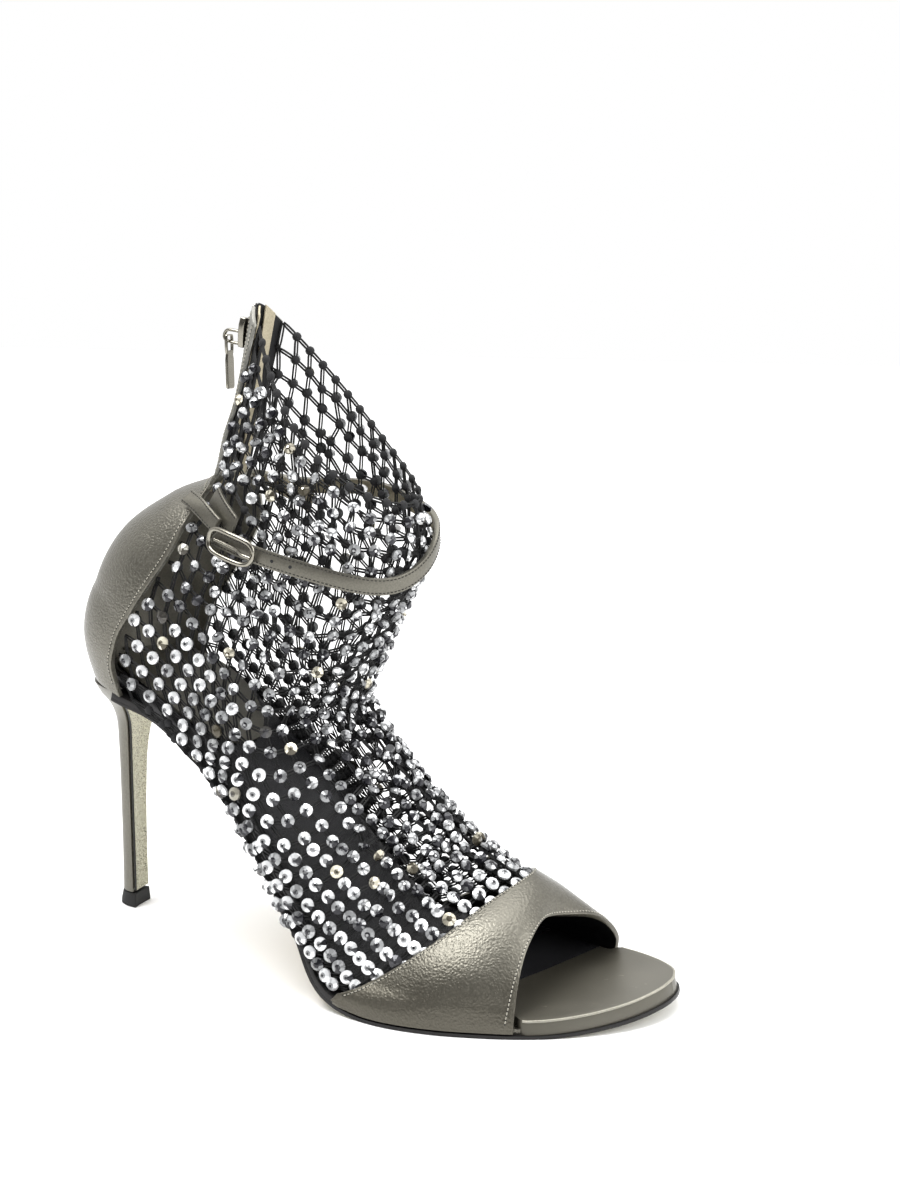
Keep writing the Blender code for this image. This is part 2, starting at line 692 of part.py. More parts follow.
# the pull's origin lies on its hinge axis
pull.data.transform(Matrix.Translation(-Vector(PIVOT) * MM))
pull.location = Vector(PIVOT) * MM


# 9 ankle strap, its anchor on the lateral side, the collar tabs
def strap_height(x, y):
    """Slack strap: low at the lateral front corner, high on the medial side."""
    medial = smooth(-15, 13, y)
    rise = 18 - 10 * (1 - smooth(45, 95, x))
    return 143.4 - 0.235 * (x - 69) - 0.09 * max(0.0, x - 94) + rise * medial


def strap_v(u):
    lo, hi = 0.3, 1.0
    for _ in range(40):
        m = 0.5 * (lo + hi)
        p = upper_raw(u, m)
        if p[2] < strap_height(p[0], p[1]):
            lo = m
        else:
            hi = m
    return 0.5 * (lo + hi)


def strap_off(u):
    d = abs(u - 0.43)
    lift = 0.4 + 0.9 * smooth(0.62, 0.74, u) + 0.6 * smooth(0.86, 0.93, u)
    return GAP + COUNTER_OFF + STRAP_T / MM + 1.0 * math.exp(-(d / 0.10) ** 2) + lift


def strap_path(us):
    return [(u, strap_v(u), strap_off(u)) for u in us]


def strap_rows(path, width=STRAP_W / MM):
    """Edge, middle and edge of a strap's outer face along (u, v, standoff) points."""
    cs, ns = [], []
    for u, v, off in path:
        n = upper_normal(u, v)
        k = smooth(62, 50, upper_raw(u, v)[0])
        n = np.array([n[0], n[1], (0.35 + 0.65 * k) * n[2]])
        n /= np.linalg.norm(n)
        ns.append(n)
        cs.append(upper_raw(u, v) + n * off)
    cs, ns = np.array(cs), np.array(ns)
    for _ in range(4):
        cs[1:-1] = 0.5 * cs[1:-1] + 0.25 * (cs[:-2] + cs[2:])
        ns[1:-1] = 0.5 * ns[1:-1] + 0.25 * (ns[:-2] + ns[2:])
    t = np.gradient(cs, axis=0)
    rows = []
    for c, n, d in zip(cs, ns, t):
        d = d / np.linalg.norm(d)
        n = n - d * n.dot(d)
        n /= np.linalg.norm(n)
        up = np.cross(n, d)
        if up[2] < 0:
            up = -up
        rows.append([c - up * width / 2, c, c + up * width / 2])
    return rows


def u_strap_x(x, side):
    lo, hi = 0.0, 0.45
    for _ in range(30):
        m = 0.5 * (lo + hi)
        u = m if side < 0 else 1 - m
        if upper_raw(u, strap_v(u))[0] < x:
            lo = m
        else:
            hi = m
    return 0.5 * (lo + hi) if side < 0 else 1 - 0.5 * (lo + hi)


U_STRAP_START = u_strap_x(60.0, -1)
U_STRAP_END = u_strap_x(42.0, 1)
ankle_strap = shell("ankle_strap", strap_rows(strap_path(np.linspace(U_STRAP_START, U_STRAP_END, 44))),
                    STRAP_T, "leather", flip=True)
anchor_path = [(u, k / NET_ROWS, off) for u, k, off in resample(spline(ANCHOR, 6), 9)]
strap_anchor = shell("strap_anchor", strap_rows(anchor_path), STRAP_T, "leather", flip=True)


def tab_rows(side):
    rows = []
    for i in range(12):
        t = i / 11
        v = (5.15 + 0.21 * t) / NET_ROWS
        u = 0.088 + 0.076 * t
        u = u if side < 0 else 1 - u
        rise = np.linalg.norm(upper_raw(u, v + 0.02) - upper_raw(u, v - 0.02)) / 0.04
        dv = TAB_W / MM / 2 / max(rise, 1e-6)
        off = GAP + 1.3 + 0.85
        rows.append([upper(u, v + dv * j, off) for j in (-1, 0, 1)])
    return rows


shell("collar_tab_lateral", tab_rows(-1), 1.3 * MM, "leather", flip=True)
shell("collar_tab_medial", tab_rows(1), 1.3 * MM, "leather", flip=False)


# 10 buckle: frame over the strap, prong across it
def buckle_frame_axes():
    r = strap_rows(strap_path([u_strap_x(BUCKLE_X + d, -1) for d in (-4, -2, 0, 2, 4)]))
    c = r[2][1]
    d = r[4][1] - r[0][1]
    d /= np.linalg.norm(d)
    up = r[2][2] - r[2][0]
    up -= d * up.dot(d)
    up /= np.linalg.norm(up)
    n = np.cross(up, d)
    if n[1] > 0:
        n = -n
    return c, d, up, n


BC, BD, BU, BN = buckle_frame_axes()


def tube(name, pts, radius, cyclic, mat, resolution=2):
    cu = bpy.data.curves.new(name, "CURVE")
    cu.dimensions = "3D"
    cu.bevel_depth = radius * MM
    cu.bevel_resolution = resolution
    cu.use_fill_caps = not cyclic
    sp = cu.splines.new("POLY")
    sp.points.add(len(pts) - 1)
    for p, q in zip(sp.points, pts):
        p.co = (*(Vector(q) * MM), 1)
    sp.use_cyclic_u = cyclic
    ob = bpy.data.objects.new(name, cu)
    collection.objects.link(ob)
    cu.materials.append(MAT[mat])
    return ob


def frame_points(n=28):
    pts = []
    a = BUCKLE_LENGTH / 2 - BUCKLE_WIRE
    b = BUCKLE_HEIGHT / 2 - BUCKLE_WIRE
    for i in range(n):
        t = 2 * math.pi * i / n
        cx = abs(math.cos(t)) ** 0.62 * math.copysign(1, math.cos(t)) * a
        cy = abs(math.sin(t)) ** 0.86 * math.copysign(1, math.sin(t)) * b
        bow = 0.9 * (cx / a) ** 2
        pts.append(BC + BD * cx + BU * cy + BN * (BUCKLE_WIRE + 1.35 - bow))
    return pts


buckle = tube("buckle_frame", frame_points(), BUCKLE_WIRE, True, "metal")
A = BUCKLE_LENGTH / 2
prong = tube("buckle_prong", [BC + BD * x + BN * h for x, h in (
    (-A + 3.0, 1.15), (-2.0, 1.3), (3.0, 1.9), (5.6, 3.2), (7.2, 3.95), (A + 0.4, 3.75))],
    0.55, False, "metal")


# 11 heel: leather-covered stem, glitter breast panel, rubber tip
def d_ring(z, back, front, half, n_back=15, n_front=4, z_of=None):
    pts = []
    for i in range(n_back):
        a = -math.pi / 2 + math.pi * i / (n_back - 1)
        x = front - (front - back) * math.cos(a)
        y = half * math.sin(a)
        pts.append((x, y, z if z_of is None else z_of(x)))
    for i in range(1, n_front):
        y = half - 2 * half * i / n_front
        x = front + 0.06 * half * (1 - (y / half) ** 2) * (-1)
        pts.append((x, y, z if z_of is None else z_of(x)))
    return pts


def heel_at(z):
    h = np.array(HEEL_SECTIONS)
    c = spline(h, 6)
    return [np.interp(z, c[:, 0], c[:, i]) for i in (1, 2, 3)]


HEEL_Z = [5.7, 12, 20, 32, 45, 55, 62, 67.5, 72, 75.5, 78.5, 81, 83.5, 85.4]
rings = [d_ring(z, *heel_at(z)) for z in HEEL_Z]
rings.append(d_ring(0, -4.2, 14.0, 24.8, z_of=lambda x: float(feather(x)) - 0.45))
heel = loft("heel", rings, "leather")
heel_tip = loft("heel_tip", [d_ring(*s) for s in TIP_SECTIONS], "rubber")

rows = []
for z in [6.4, 14, 24, 36, 48, 58, 65, 70, 74, 77.5, 80.5, 83.2]:
    back, front, half = heel_at(z)
    edge = half - 0.5
    rows.append([(front + 0.06 * half * (y * y - 1) * 1.0 + 1.15 + 0.25, edge * y, z)
                 for y in (-1, -0.5, 0, 0.5, 1)])
breast_cover = shell("breast_cover", rows, 0.9 * MM, "sole")
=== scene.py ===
# %% [markdown]
# # A peep-toe stiletto sandal with a net shaft, dressed for the studio
#
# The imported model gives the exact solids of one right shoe. This lesson lays the real
# finish over them: grained pewter leather, a knotted net of doubled cords with a cut
# stone on each knot, a zip, a buckled strap, and a heel with a glitter breast. Each
# piece follows the same curves as the solid that it stands for, so nothing has to be fitted.

# %% Load the frame
import math

import bpy
import numpy as np
from mathutils import Matrix, Vector


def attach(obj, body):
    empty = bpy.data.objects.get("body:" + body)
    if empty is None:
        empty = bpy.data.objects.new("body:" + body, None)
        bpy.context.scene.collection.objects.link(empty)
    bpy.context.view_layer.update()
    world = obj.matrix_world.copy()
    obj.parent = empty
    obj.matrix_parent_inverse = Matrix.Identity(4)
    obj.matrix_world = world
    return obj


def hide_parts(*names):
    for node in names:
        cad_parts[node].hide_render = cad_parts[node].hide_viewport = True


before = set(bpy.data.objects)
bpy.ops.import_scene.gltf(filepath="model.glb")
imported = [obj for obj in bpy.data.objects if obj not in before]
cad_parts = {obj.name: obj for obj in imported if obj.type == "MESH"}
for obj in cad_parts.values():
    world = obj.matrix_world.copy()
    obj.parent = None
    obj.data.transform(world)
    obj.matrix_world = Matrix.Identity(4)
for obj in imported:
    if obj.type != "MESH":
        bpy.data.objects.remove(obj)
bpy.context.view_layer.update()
MM = 0.001
rng = np.random.default_rng(11)

# %% [markdown]
# ## The camera
#
# The picture was taken from the front quarter, a little above the shoe. The camera keeps that
# place and angle; its focal length is the photo's, measured on the height of the frame.

# %% Camera
TURN = 0.42473628
TILT = 0.20346992
CAMERA_AT = Vector((0.3280, -0.4377, 0.2251))


def turned(v):
    c, s = math.cos(TURN), math.sin(TURN)
    return Vector((v[0] * c - v[1] * s, v[0] * s + v[1] * c, v[2]))


cam_right = turned((1, 0, 0))
cam_ahead = turned((0, math.cos(TILT), -math.sin(TILT)))
cam_up = turned((0, math.sin(TILT), math.cos(TILT)))
camera = bpy.data.objects.new("camera", bpy.data.cameras.new("camera"))
bpy.context.scene.collection.objects.link(camera)
camera.matrix_world = Matrix.Translation(CAMERA_AT) @ Matrix(
    (cam_right, cam_up, -cam_ahead)).transposed().to_4x4()
camera.data.sensor_fit = "VERTICAL"
camera.data.sensor_height = 24.0
camera.data.lens = 24.0 * 1523.79 / 1199
camera.data.clip_start = 0.01
bpy.context.scene.camera = camera
print("lens", round(camera.data.lens, 2), "mm")

# %% [markdown]
# ## Curves
#
# A shoe is drawn with a few long curves: the outline of the sole from above, and the feather
# line, which is where upper and sole meet, from the side. Short tables of points hold them, and
# a Catmull-Rom spline runs through the points. All tables are in millimetres.

# %% Curve helpers


def spline(points, per_span=8):
    """Centripetal Catmull-Rom curve through the points."""
    p = np.asarray(points, float)
    p = np.vstack([2 * p[0] - p[1], p, 2 * p[-1] - p[-2]])
    out = []
    for i in range(1, len(p) - 2):
        p0, p1, p2, p3 = p[i - 1:i + 3]
        t = [0.0]
        for a, b in ((p0, p1), (p1, p2), (p2, p3)):
            t.append(t[-1] + max(np.linalg.norm(b - a), 1e-9) ** 0.5)
        for s in np.linspace(t[1], t[2], per_span, endpoint=False):
            a1 = (t[1] - s) / (t[1] - t[0]) * p0 + (s - t[0]) / (t[1] - t[0]) * p1
            a2 = (t[2] - s) / (t[2] - t[1]) * p1 + (s - t[1]) / (t[2] - t[1]) * p2
            a3 = (t[3] - s) / (t[3] - t[2]) * p2 + (s - t[2]) / (t[3] - t[2]) * p3
            b1 = (t[2] - s) / (t[2] - t[0]) * a1 + (s - t[0]) / (t[2] - t[0]) * a2
            b2 = (t[3] - s) / (t[3] - t[1]) * a2 + (s - t[1]) / (t[3] - t[1]) * a3
            out.append((t[2] - s) / (t[2] - t[1]) * b1 + (s - t[1]) / (t[2] - t[1]) * b2)
    out.append(p[-2])
    return np.array(out)


def resample(poly, n):
    """n points at equal arc length along a polyline."""
    d = np.r_[0, np.cumsum(np.linalg.norm(np.diff(poly, axis=0), axis=1))]
    s = np.linspace(0, d[-1], n)
    return np.stack([np.interp(s, d, poly[:, i]) for i in range(poly.shape[1])], -1)


def smooth(a, b, x):
    t = np.clip((x - a) / (b - a), 0, 1)
    return t * t * (3 - 2 * t)


def unit(v):
    return v / max(np.linalg.norm(v), 1e-12)


# %% Sole outline and feather line
OUTLINE_LATERAL = [
    (-3.9, 0), (-2.4, -9.2), (2.0, -17.6), (9, -24), (18, -27.6), (30, -29.6), (50, -31.2),
    (70, -35.2), (85, -40.2), (100, -45.4), (115, -49), (130, -50.4), (145, -48.6),
    (158, -45), (170, -40.6), (182, -34.6), (193, -27), (202, -18.2), (207.8, -8.4), (209.6, -0.5)]
OUTLINE_MEDIAL = [
    (-3.9, 0), (-2.4, 9), (2.0, 17), (9, 23.4), (18, 26.6), (28, 27), (40, 25), (55, 22.6),
    (70, 22.3), (85, 24.8), (100, 29), (115, 33), (130, 35), (145, 34.6), (158, 32.4),
    (170, 28.6), (182, 24.4), (193, 19.6), (202, 13.2), (207.8, 6.4), (209.6, -0.5)]
FEATHER = [
    (-10, 90.1), (0, 90.3), (10, 89.9), (20, 87.3), (30, 83), (40, 76.8), (50, 69.2), (60, 60.5),
    (70, 50.6), (80, 39.2), (90, 26.6), (97, 17.4), (104, 9.6), (110, 5.6), (116, 3.8),
    (122, 3.1), (128, 3.0), (140, 3.0), (160, 3.0), (178, 3.0), (190, 4.1), (200, 5.7), (209, 7.6)]
LAT = spline(OUTLINE_LATERAL, 10)
MED = spline(OUTLINE_MEDIAL, 10)
FEA = spline(FEATHER, 8)


def feather(x):
    return np.interp(x, FEA[:, 0], FEA[:, 1])


def feather_normal(x):
    """Unit normal (x, z) of the feather line, pointing up."""
    return unit(np.array([-(feather(x + 0.5) - feather(x - 0.5)), 1.0]))


def inset_outline(side, d):
    """One side of the sole outline (lateral -1, medial 1) moved inward by d."""
    p = LAT if side < 0 else MED
    t = np.gradient(p, axis=0)
    t /= np.linalg.norm(t, axis=1)[:, None]
    return p + np.stack([-t[:, 1], t[:, 0]], -1) * (-side) * np.asarray(d).reshape(-1, 1)


print("sole length", round(LAT[-1, 0] - LAT[0, 0], 1), "mm")

# %% [markdown]
# ## The surface of the toe band
#
# The leather band lies over the ball of the foot. Three rows of points, at its rear edge, its
# middle and its front edge, carry it from the lateral foot over the crest to the medial foot.

# %% Band surface
BAND = {
    "rear": [(110, -46.9, 5.9), (123, -44.8, 12.0), (139, -37.2, 23.4), (151, -21.5, 33.2),
             (159, 1.0, 37.6), (150, 19.0, 31.0), (138, 28.8, 22.4), (124, 33.0, 13.2),
             (110, 31.6, 5.9)],
    "mid": [(140, -48.6, 3.4), (147, -46.0, 11.0), (155, -38.4, 21.6), (161, -24.6, 30.6),
            (165.6, -5.0, 34.2), (166.4, 11.0, 30.4), (163.6, 21.8, 23.2), (155, 30.6, 12.8),
            (145.5, 34.8, 3.4)],
    "front": [(169.5, -39.1, 3.4), (169.3, -38.3, 10.0), (169.0, -33.8, 18.2), (168.8, -25.0, 25.2),
              (169.8, -12.0, 28.9), (176.0, 3.0, 26.0), (180.4, 13.5, 20.4), (182.0, 22.6, 11.6),
              (181.0, 27.7, 3.4)]}
BAND_ROWS = [spline(BAND[k], 10) for k in ("rear", "mid", "front")]


def band_raw(w, s):
    """w across from the lateral foot (0) to the medial foot (1), s from rear (0) to front (1)."""
    r = []
    for row in BAND_ROWS:
        i = np.clip(w, 0, 1) * (len(row) - 1)
        a = int(min(math.floor(i), len(row) - 2))
        r.append(row[a] * (1 - (i - a)) + row[a + 1] * (i - a))
    p = (r[0] * (s - 0.5) * (s - 1) / 0.5 + r[1] * s * (s - 1) / -0.25 + r[2] * s * (s - 0.5) / 0.5)
    if w < 0.12 or w > 0.88:
        e = min(w, 1 - w) / 0.12
        edge = LAT if w < 0.5 else MED
        side = np.interp(p[0], edge[:, 0], edge[:, 1])
        p = np.array([p[0], p[1] * e + side * 0.997 * (1 - e), p[2]])
        low = feather(p[0]) + 0.6
        p[2] = max(p[2], low) if e > 0.02 else low
    return p


def band(w, s, off=0.0):
    tw = band_raw(min(w + 0.01, 1), s) - band_raw(max(w - 0.01, 0), s)
    ts = band_raw(w, min(s + 0.03, 1)) - band_raw(w, max(s - 0.03, 0))
    n = unit(np.cross(ts, tw))
    if w < 0.06 or w > 0.94:
        n[2] = 0
        n = unit(n)
    return band_raw(w, s) + n * off


print("band crest", np.round(band(0.5, 0.0), 1))

# %% [markdown]
# ## The surface of the net
#
# The net is one soft tube, from the feather edge to a hem that is high at the zip and low in
# front. Nine loops describe it: v counts them from 0 at the sole to 1 at the hem, and u runs
# round from the back (0) by the lateral side to the front (0.5) and home by the medial side.

# %% Net surface
LOOPS = {
    1: (-3.4, 110.5, 138.5, 46.4, 31.0, 1.2, 0.0, 0.0, 1.0),
    2: (1.4, 128.6, 122.6, 58.6, 29.5, 2.0, 0.0, 0.0, 1.0),
    3: (12.4, 143.8, 108.2, 72.2, 28.2, 2.0, 0.0, 0.0, 1.0),
    4: (29.2, 154.2, 97.2, 87.0, 26.8, 1.0, 0.0, 0.0, 1.05),
    5: (47.4, 162.0, 104.0, 105.0, 25.5, 0.0, 1.5, 1.0, 1.2),
    6: (52.8, 181.6, 112.6, 122.4, 24.5, 0.0, 4.0, 2.6, 1.35),
    7: (57.0, 201.4, 120.2, 138.6, 23.0, 0.0, 8.0, 4.6, 1.5),
    8: (60.8, 221.4, 118.8, 156.6, 21.5, 0.0, 12.5, 7.2, 1.7)}
ROWS = 8
HALF = 40


def base_half(side):
    """Feather edge from the heel back to the band, then over the foot under the band."""
    x = inset_outline(side, 0)[:, 0]
    q = inset_outline(side, 2.4 * (1 - smooth(20, 30, x)) + 2.6 * smooth(92, 106, x))
    q = q[(LAT if side < 0 else MED)[:, 0] < 108]
    pts = [(a, b, feather(a) + 0.8) for a, b in q]
    pts[0] = (pts[0][0], 0.0, pts[0][2])
    w = np.linspace(0.035, 0.5, 24)
    pts += [tuple(band(a, 0.05, -3.2)) for a in (w if side < 0 else 1 - w)]
    p = np.array(pts)
    return p[np.r_[True, np.linalg.norm(np.diff(p, axis=0), axis=1) > 1e-6]]


BASE = {-1: base_half(-1), 1: base_half(1)}


def loop_half(k, side):
    """Half a loop of the net: a chord from back to front with sag and width."""
    base = BASE[side]
    if k == 0:
        return resample(base, HALF)
    bx, bz, fx, fz, wide, bulge, sag_l, sag_m, pinch = LOOPS[k]
    t = 0.5 - 0.5 * np.cos(np.pi * np.linspace(0, 1, 161))
    x0 = base[0, 0] + (base[-1, 0] - base[0, 0]) * t
    order = np.argsort(base[:, 0])
    bz0 = np.interp(x0, base[order, 0], base[order, 2])
    by0 = np.interp(x0, base[order, 0], np.abs(base[order, 1]))
    chord0 = base[0, 2] + (base[-1, 2] - base[0, 2]) * t
    sag = sag_l if side < 0 else sag_m
    x = bx + (fx - bx) * t
    z = bz + (fz - bz) * t + (bz0 - chord0) * (1 - k / 8) ** 1.5 - sag * 4 * t * (1 - t)
    ring = np.clip(4 * t * (1 - t), 0, 1) ** np.where(t < 0.5, 0.5 * pinch, 0.5) * wide
    f = (1 - k / 8) ** 1.25
    y = by0 * f + ring * (1 - f) + bulge * np.exp(-((t - 0.13) / 0.12) ** 2) * (t > 0) * np.sqrt(
        np.clip(t / 0.05, 0, 1))
    y[0] = 0
    y[-1] = 0
    return resample(np.stack([x, side * y, z], -1), HALF)


def full_loop(k):
    return np.vstack([loop_half(k, -1), loop_half(k, 1)[::-1][1:-1]])


GRID = np.array([full_loop(k) for k in range(ROWS + 1)])
for _ in range(3):
    soft = 0.5 * GRID + 0.25 * np.roll(GRID, 1, axis=1) + 0.25 * np.roll(GRID, -1, axis=1)
    soft[0] = GRID[0]
    GRID = soft


def catmull(f):
    return (-0.5 * f + f * f - 0.5 * f ** 3, 1 - 2.5 * f * f + 1.5 * f ** 3,
            0.5 * f + 2 * f * f - 1.5 * f ** 3, -0.5 * f * f + 0.5 * f ** 3)


def upper_raw(u, v):
    n = GRID.shape[1]
    i = (u % 1.0) * n
    a = int(math.floor(i)) % n
    col = sum(GRID[:, (a + c) % n] * w for c, w in zip((-1, 0, 1, 2), catmull(i - math.floor(i))))
    r = min(max(v, 0.0), 1.0) * ROWS
    j = min(int(math.floor(r)), ROWS - 1)
    p1, p2 = col[j], col[j + 1]
    p0 = col[j - 1] if j > 0 else 2 * p1 - p2
    p3 = col[j + 2] if j + 2 <= ROWS else 2 * p2 - p1
    p = sum(q * w for q, w in zip((p0, p1, p2, p3), catmull(r - j)))
    if r < 1.8:
        out = np.array([p[0] - 24.0, p[1], 0.0])
        cup = 2.2 * math.sin(math.pi * r / 1.8) ** 0.8 * (1 - smooth(4, 26, p[0]))
        p = p + out / max(np.linalg.norm(out), 1.0) * cup
    return p


def upper_normal(u, v):
    tu = upper_raw(u + 0.006, v) - upper_raw(u - 0.006, v)
    tv = upper_raw(u, min(v + 0.02, 1)) - upper_raw(u, max(v - 0.02, 0))
    return unit(np.cross(tu, tv))


def upper(u, v, off=0.0):
    return upper_raw(u, v) + upper_normal(u, v) * off


def u_at_x(x, v, side):
    """Where a loop reaches a given x on one side."""
    lo, hi = 0.0, 0.5
    for _ in range(24):
        m = 0.5 * (lo + hi)
        lo, hi = (m, hi) if upper_raw(m if side < 0 else 1 - m, v)[0] < x else (lo, m)
    return lo if side < 0 else 1 - lo


print("hem, back to front:", np.round(upper_raw(0, 1), 1), np.round(upper_raw(0.5, 1), 1))

# %% [markdown]
# ## A small language for shaders
#
# Node trees are easier to read as sums. A Wire wraps one output socket and turns + - * / into
# Math nodes. A Finish is a material with one method that adds any other node: its type, the
# values or wires of its sockets, and its settings.

# %% Wires and finishes


class Wire:
    """One output socket that can be used in an expression."""

    def __init__(self, finish, socket):
        self.finish, self.socket = finish, socket

    def maths(self, operation, *values):
        inputs = dict(enumerate(values))
        return self.finish.node("ShaderNodeMath", inputs, {"operation": operation})

    def __add__(self, other):
        return self.maths("ADD", self, other)

    def __sub__(self, other):
        return self.maths("SUBTRACT", self, other)

    def __rsub__(self, other):
        return self.maths("SUBTRACT", other, self)

    def __mul__(self, other):
        return self.maths("MULTIPLY", self, other)

    def __truediv__(self, other):
        return self.maths("DIVIDE", self, other)

    def __pow__(self, other):
        return self.maths("POWER", self, other)

    __radd__ = __add__
    __rmul__ = __mul__

    def between(self, low, high):
        """0 below low, 1 above high, smooth between."""
        return self.finish.node("ShaderNodeMapRange", {"Value": self, "From Min": low, "From Max": high},
                                {"interpolation_type": "SMOOTHSTEP"})


class Finish:
    """A material built round one Principled shader."""

    def __init__(self, name, colour, rough, metal=0.0, **fixed):
        self.mat = bpy.data.materials.new(name)
        self.mat.use_nodes = True
        self.tree = self.mat.node_tree
        self.bsdf = self.tree.nodes["Principled BSDF"]
        self.set("Base Color", (*colour, 1))
        self.set("Roughness", rough)
        self.set("Metallic", metal)
        for key, value in fixed.items():
            self.set(key.replace("_", " "), value)
        self.mat.diffuse_color = (*colour, 1)
        self.spot = self.node("ShaderNodeTexCoord", out="Object")

    def node(self, kind, inputs=None, settings=None, out=0):
        n = self.tree.nodes.new(kind)
        for key, value in (settings or {}).items():
            setattr(n, key, value)
        for key, value in (inputs or {}).items():
            self.feed(n.inputs[key], value)
        return Wire(self, n.outputs[out])

    def feed(self, socket, value):
        if isinstance(value, Wire):
            self.tree.links.new(value.socket, socket)
        else:
            socket.default_value = value

    def set(self, key, value):
        self.feed(self.bsdf.inputs[key], value)

    def noise(self, size_mm, detail=3.0, rough=0.5, distort=0.0, at=None):
        return self.node("ShaderNodeTexNoise", {
            "Vector": at or self.spot, "Scale": 1000.0 / size_mm, "Detail": detail,
            "Roughness": rough, "Distortion": distort})

    def cells(self, size_mm, out="Distance", feature="F1", at=None):
        return self.node("ShaderNodeTexVoronoi", {"Vector": at or self.spot, "Scale": 1000.0 / size_mm},
                         {"feature": feature}, out)

    def blend(self, mask, a, b):
        return self.node("ShaderNodeMix", {0: mask, 6: a, 7: b}, {"data_type": "RGBA"}, 2)

    def stretch(self, scale):
        return self.node("ShaderNodeMapping", {"Vector": self.spot, "Scale": scale})

    def bump(self, height, depth_mm, strength=1.0, under=None):
        inputs = {"Height": height, "Distance": depth_mm * MM, "Strength": strength}
        if under:
            inputs["Normal"] = under
        return self.node("ShaderNodeBump", inputs)


def tone(colour, k):
    return (colour[0] * k, colour[1] * k, colour[2] * k, 1)


# %% [markdown]
# ## Pewter leather
#
# Metallic leather is hide with a foil film: half a metal and half a dye coat. Its grain is a
# field of small pillows parted by creases, so rounded Voronoi cells give the height, a slow
# noise gives the uneven film, and a few bright specks show where it is rubbed.

# %% Leather finishes
PEWTER = (0.158, 0.150, 0.124)


def pewter_finish(name, colour, grain_mm=0.72, depth=0.17, rough=0.33, metal=0.72, worn=1.0, bottom_shade=0.0):
    f = Finish(name, colour, rough, metal)
    warp = f.noise(5.0, 2.0)
    pillow = f.cells(grain_mm, feature="SMOOTH_F1") ** 0.8
    fine = f.noise(0.35, 2.0)
    slow = f.noise(17.0, 3.0, 0.55)
    rub = f.noise(1.5, 4.0, 0.62, 0.5).between(0.66, 0.76) * f.noise(24.0, 1.0).between(0.52, 0.66)
    film = f.blend(slow, tone(colour, 0.84), tone(colour, 1.14))
    film = f.blend(pillow.between(0.35, 0.75) * 0.35, film, tone(colour, 0.55))
    film = f.blend(rub * (0.5 * worn), film, tone((0.62, 0.58, 0.50), 1.0))
    # Painted shade: when bottom_shade is above 0, the film turns dark brown towards the bottom of the piece, from
    # about 34 mm height down to 14 mm, and gets rougher there.
    axis = f.tree.nodes.new("ShaderNodeSeparateXYZ")
    f.feed(axis.inputs[0], f.spot)
    low = (Wire(f, axis.outputs["Z"]) * 1000.0 + slow * 12.0).between(34.0, 14.0) * bottom_shade
    film = f.blend(low, film, tone((0.070, 0.062, 0.046), 1.0))
    f.set("Base Color", film)
    f.set("Roughness", rough + low * 0.16 + (slow - 0.5) * 0.16 + (fine - 0.5) * 0.08)
    height = (1 - pillow) * 1.25 + fine * 0.3 + warp * 0.25
    f.set("Normal", f.bump(height, depth))
    return f.mat


leather = pewter_finish("pewter_leather", PEWTER)
# The toe band's leather gets painted shade towards its bottom edge.
band_leather = pewter_finish("pewter_band", PEWTER, depth=0.13, bottom_shade=0.6)
# Paler leather for the tube along the platform's top edge: a painted highlight, together with wear.
worn_highlight_leather = pewter_finish("pewter_worn_highlight", (0.34, 0.325, 0.27), 0.5, 0.02, 0.42, 0.4)
strap_leather = pewter_finish("pewter_strap", tone(PEWTER, 0.95)[:3], 0.5, 0.04, 0.38)
heel_leather = pewter_finish("pewter_heel", tone(PEWTER, 0.98)[:3], 0.55, 0.02, 0.36, 0.62)
pad_leather = pewter_finish("pewter_pad", tone(PEWTER, 0.80)[:3], 0.55, 0.02, 0.42, 0.45)
facing_leather = pewter_finish("pewter_facing", (0.24, 0.235, 0.21), 0.5, 0.02, 0.42, 0.45)
champagne = pewter_finish("champagne_lining", (0.42, 0.37, 0.26), 0.5, 0.015, 0.42, 0.35)

# %% [markdown]
# ## The dark linings, cords, stones and metal
#
# The sock is black satin leather, which turns to pewter where it wraps the open toe. The stones are clear
# glass over foil. Each facet throws back another part of the room, so the facets carry a painted
# reflection, a brightness of their own on top of the real reflection.

# %% Lining and edge finishes


def plain_dark(name, colour, rough, grain_mm, depth, **fixed):
    f = Finish(name, colour, rough, 0.0, **{"Specular_IOR_Level": 0.28, **fixed})
    fine = f.noise(grain_mm, 3.0)
    slow = f.noise(12.0, 2.0)
    f.set("Base Color", f.blend(slow, tone(colour, 0.75), tone(colour, 1.35)))
    f.set("Roughness", rough + (slow - 0.5) * 0.15)
    f.set("Normal", f.bump(fine, depth))
    return f.mat


black_lining = plain_dark("black_lining", (0.012, 0.012, 0.013), 0.55, 0.4, 0.03)
cup_lining = pewter_finish("cup_lining", (0.165, 0.155, 0.125), 0.5, 0.03, 0.36, 0.35, 0.2)
edge_paint = plain_dark("edge_paint", (0.014, 0.013, 0.013), 0.38, 1.2, 0.03)
raw_edge = plain_dark("raw_edge", (0.40, 0.34, 0.22), 0.6, 0.5, 0.03)
rubber = plain_dark("rubber", (0.016, 0.016, 0.016), 0.62, 0.6, 0.03)
cord_black = plain_dark("cord_black", (0.008, 0.008, 0.008), 0.6, 0.25, 0.05)
knot_black = plain_dark("knot_black", (0.020, 0.020, 0.021), 0.8, 0.5, 0.12)
tape_black = plain_dark("tape_black", (0.02, 0.02, 0.02), 0.8, 0.4, 0.05)
thread = plain_dark("thread", (0.40, 0.38, 0.32), 0.6, 0.3, 0.03)
dark_thread = plain_dark("dark_thread", (0.025, 0.023, 0.02), 0.6, 0.3, 0.03)

# %% Sock finish: black satin, pewter at the open toe
TOE_WRAP = (167.0, 0.42)


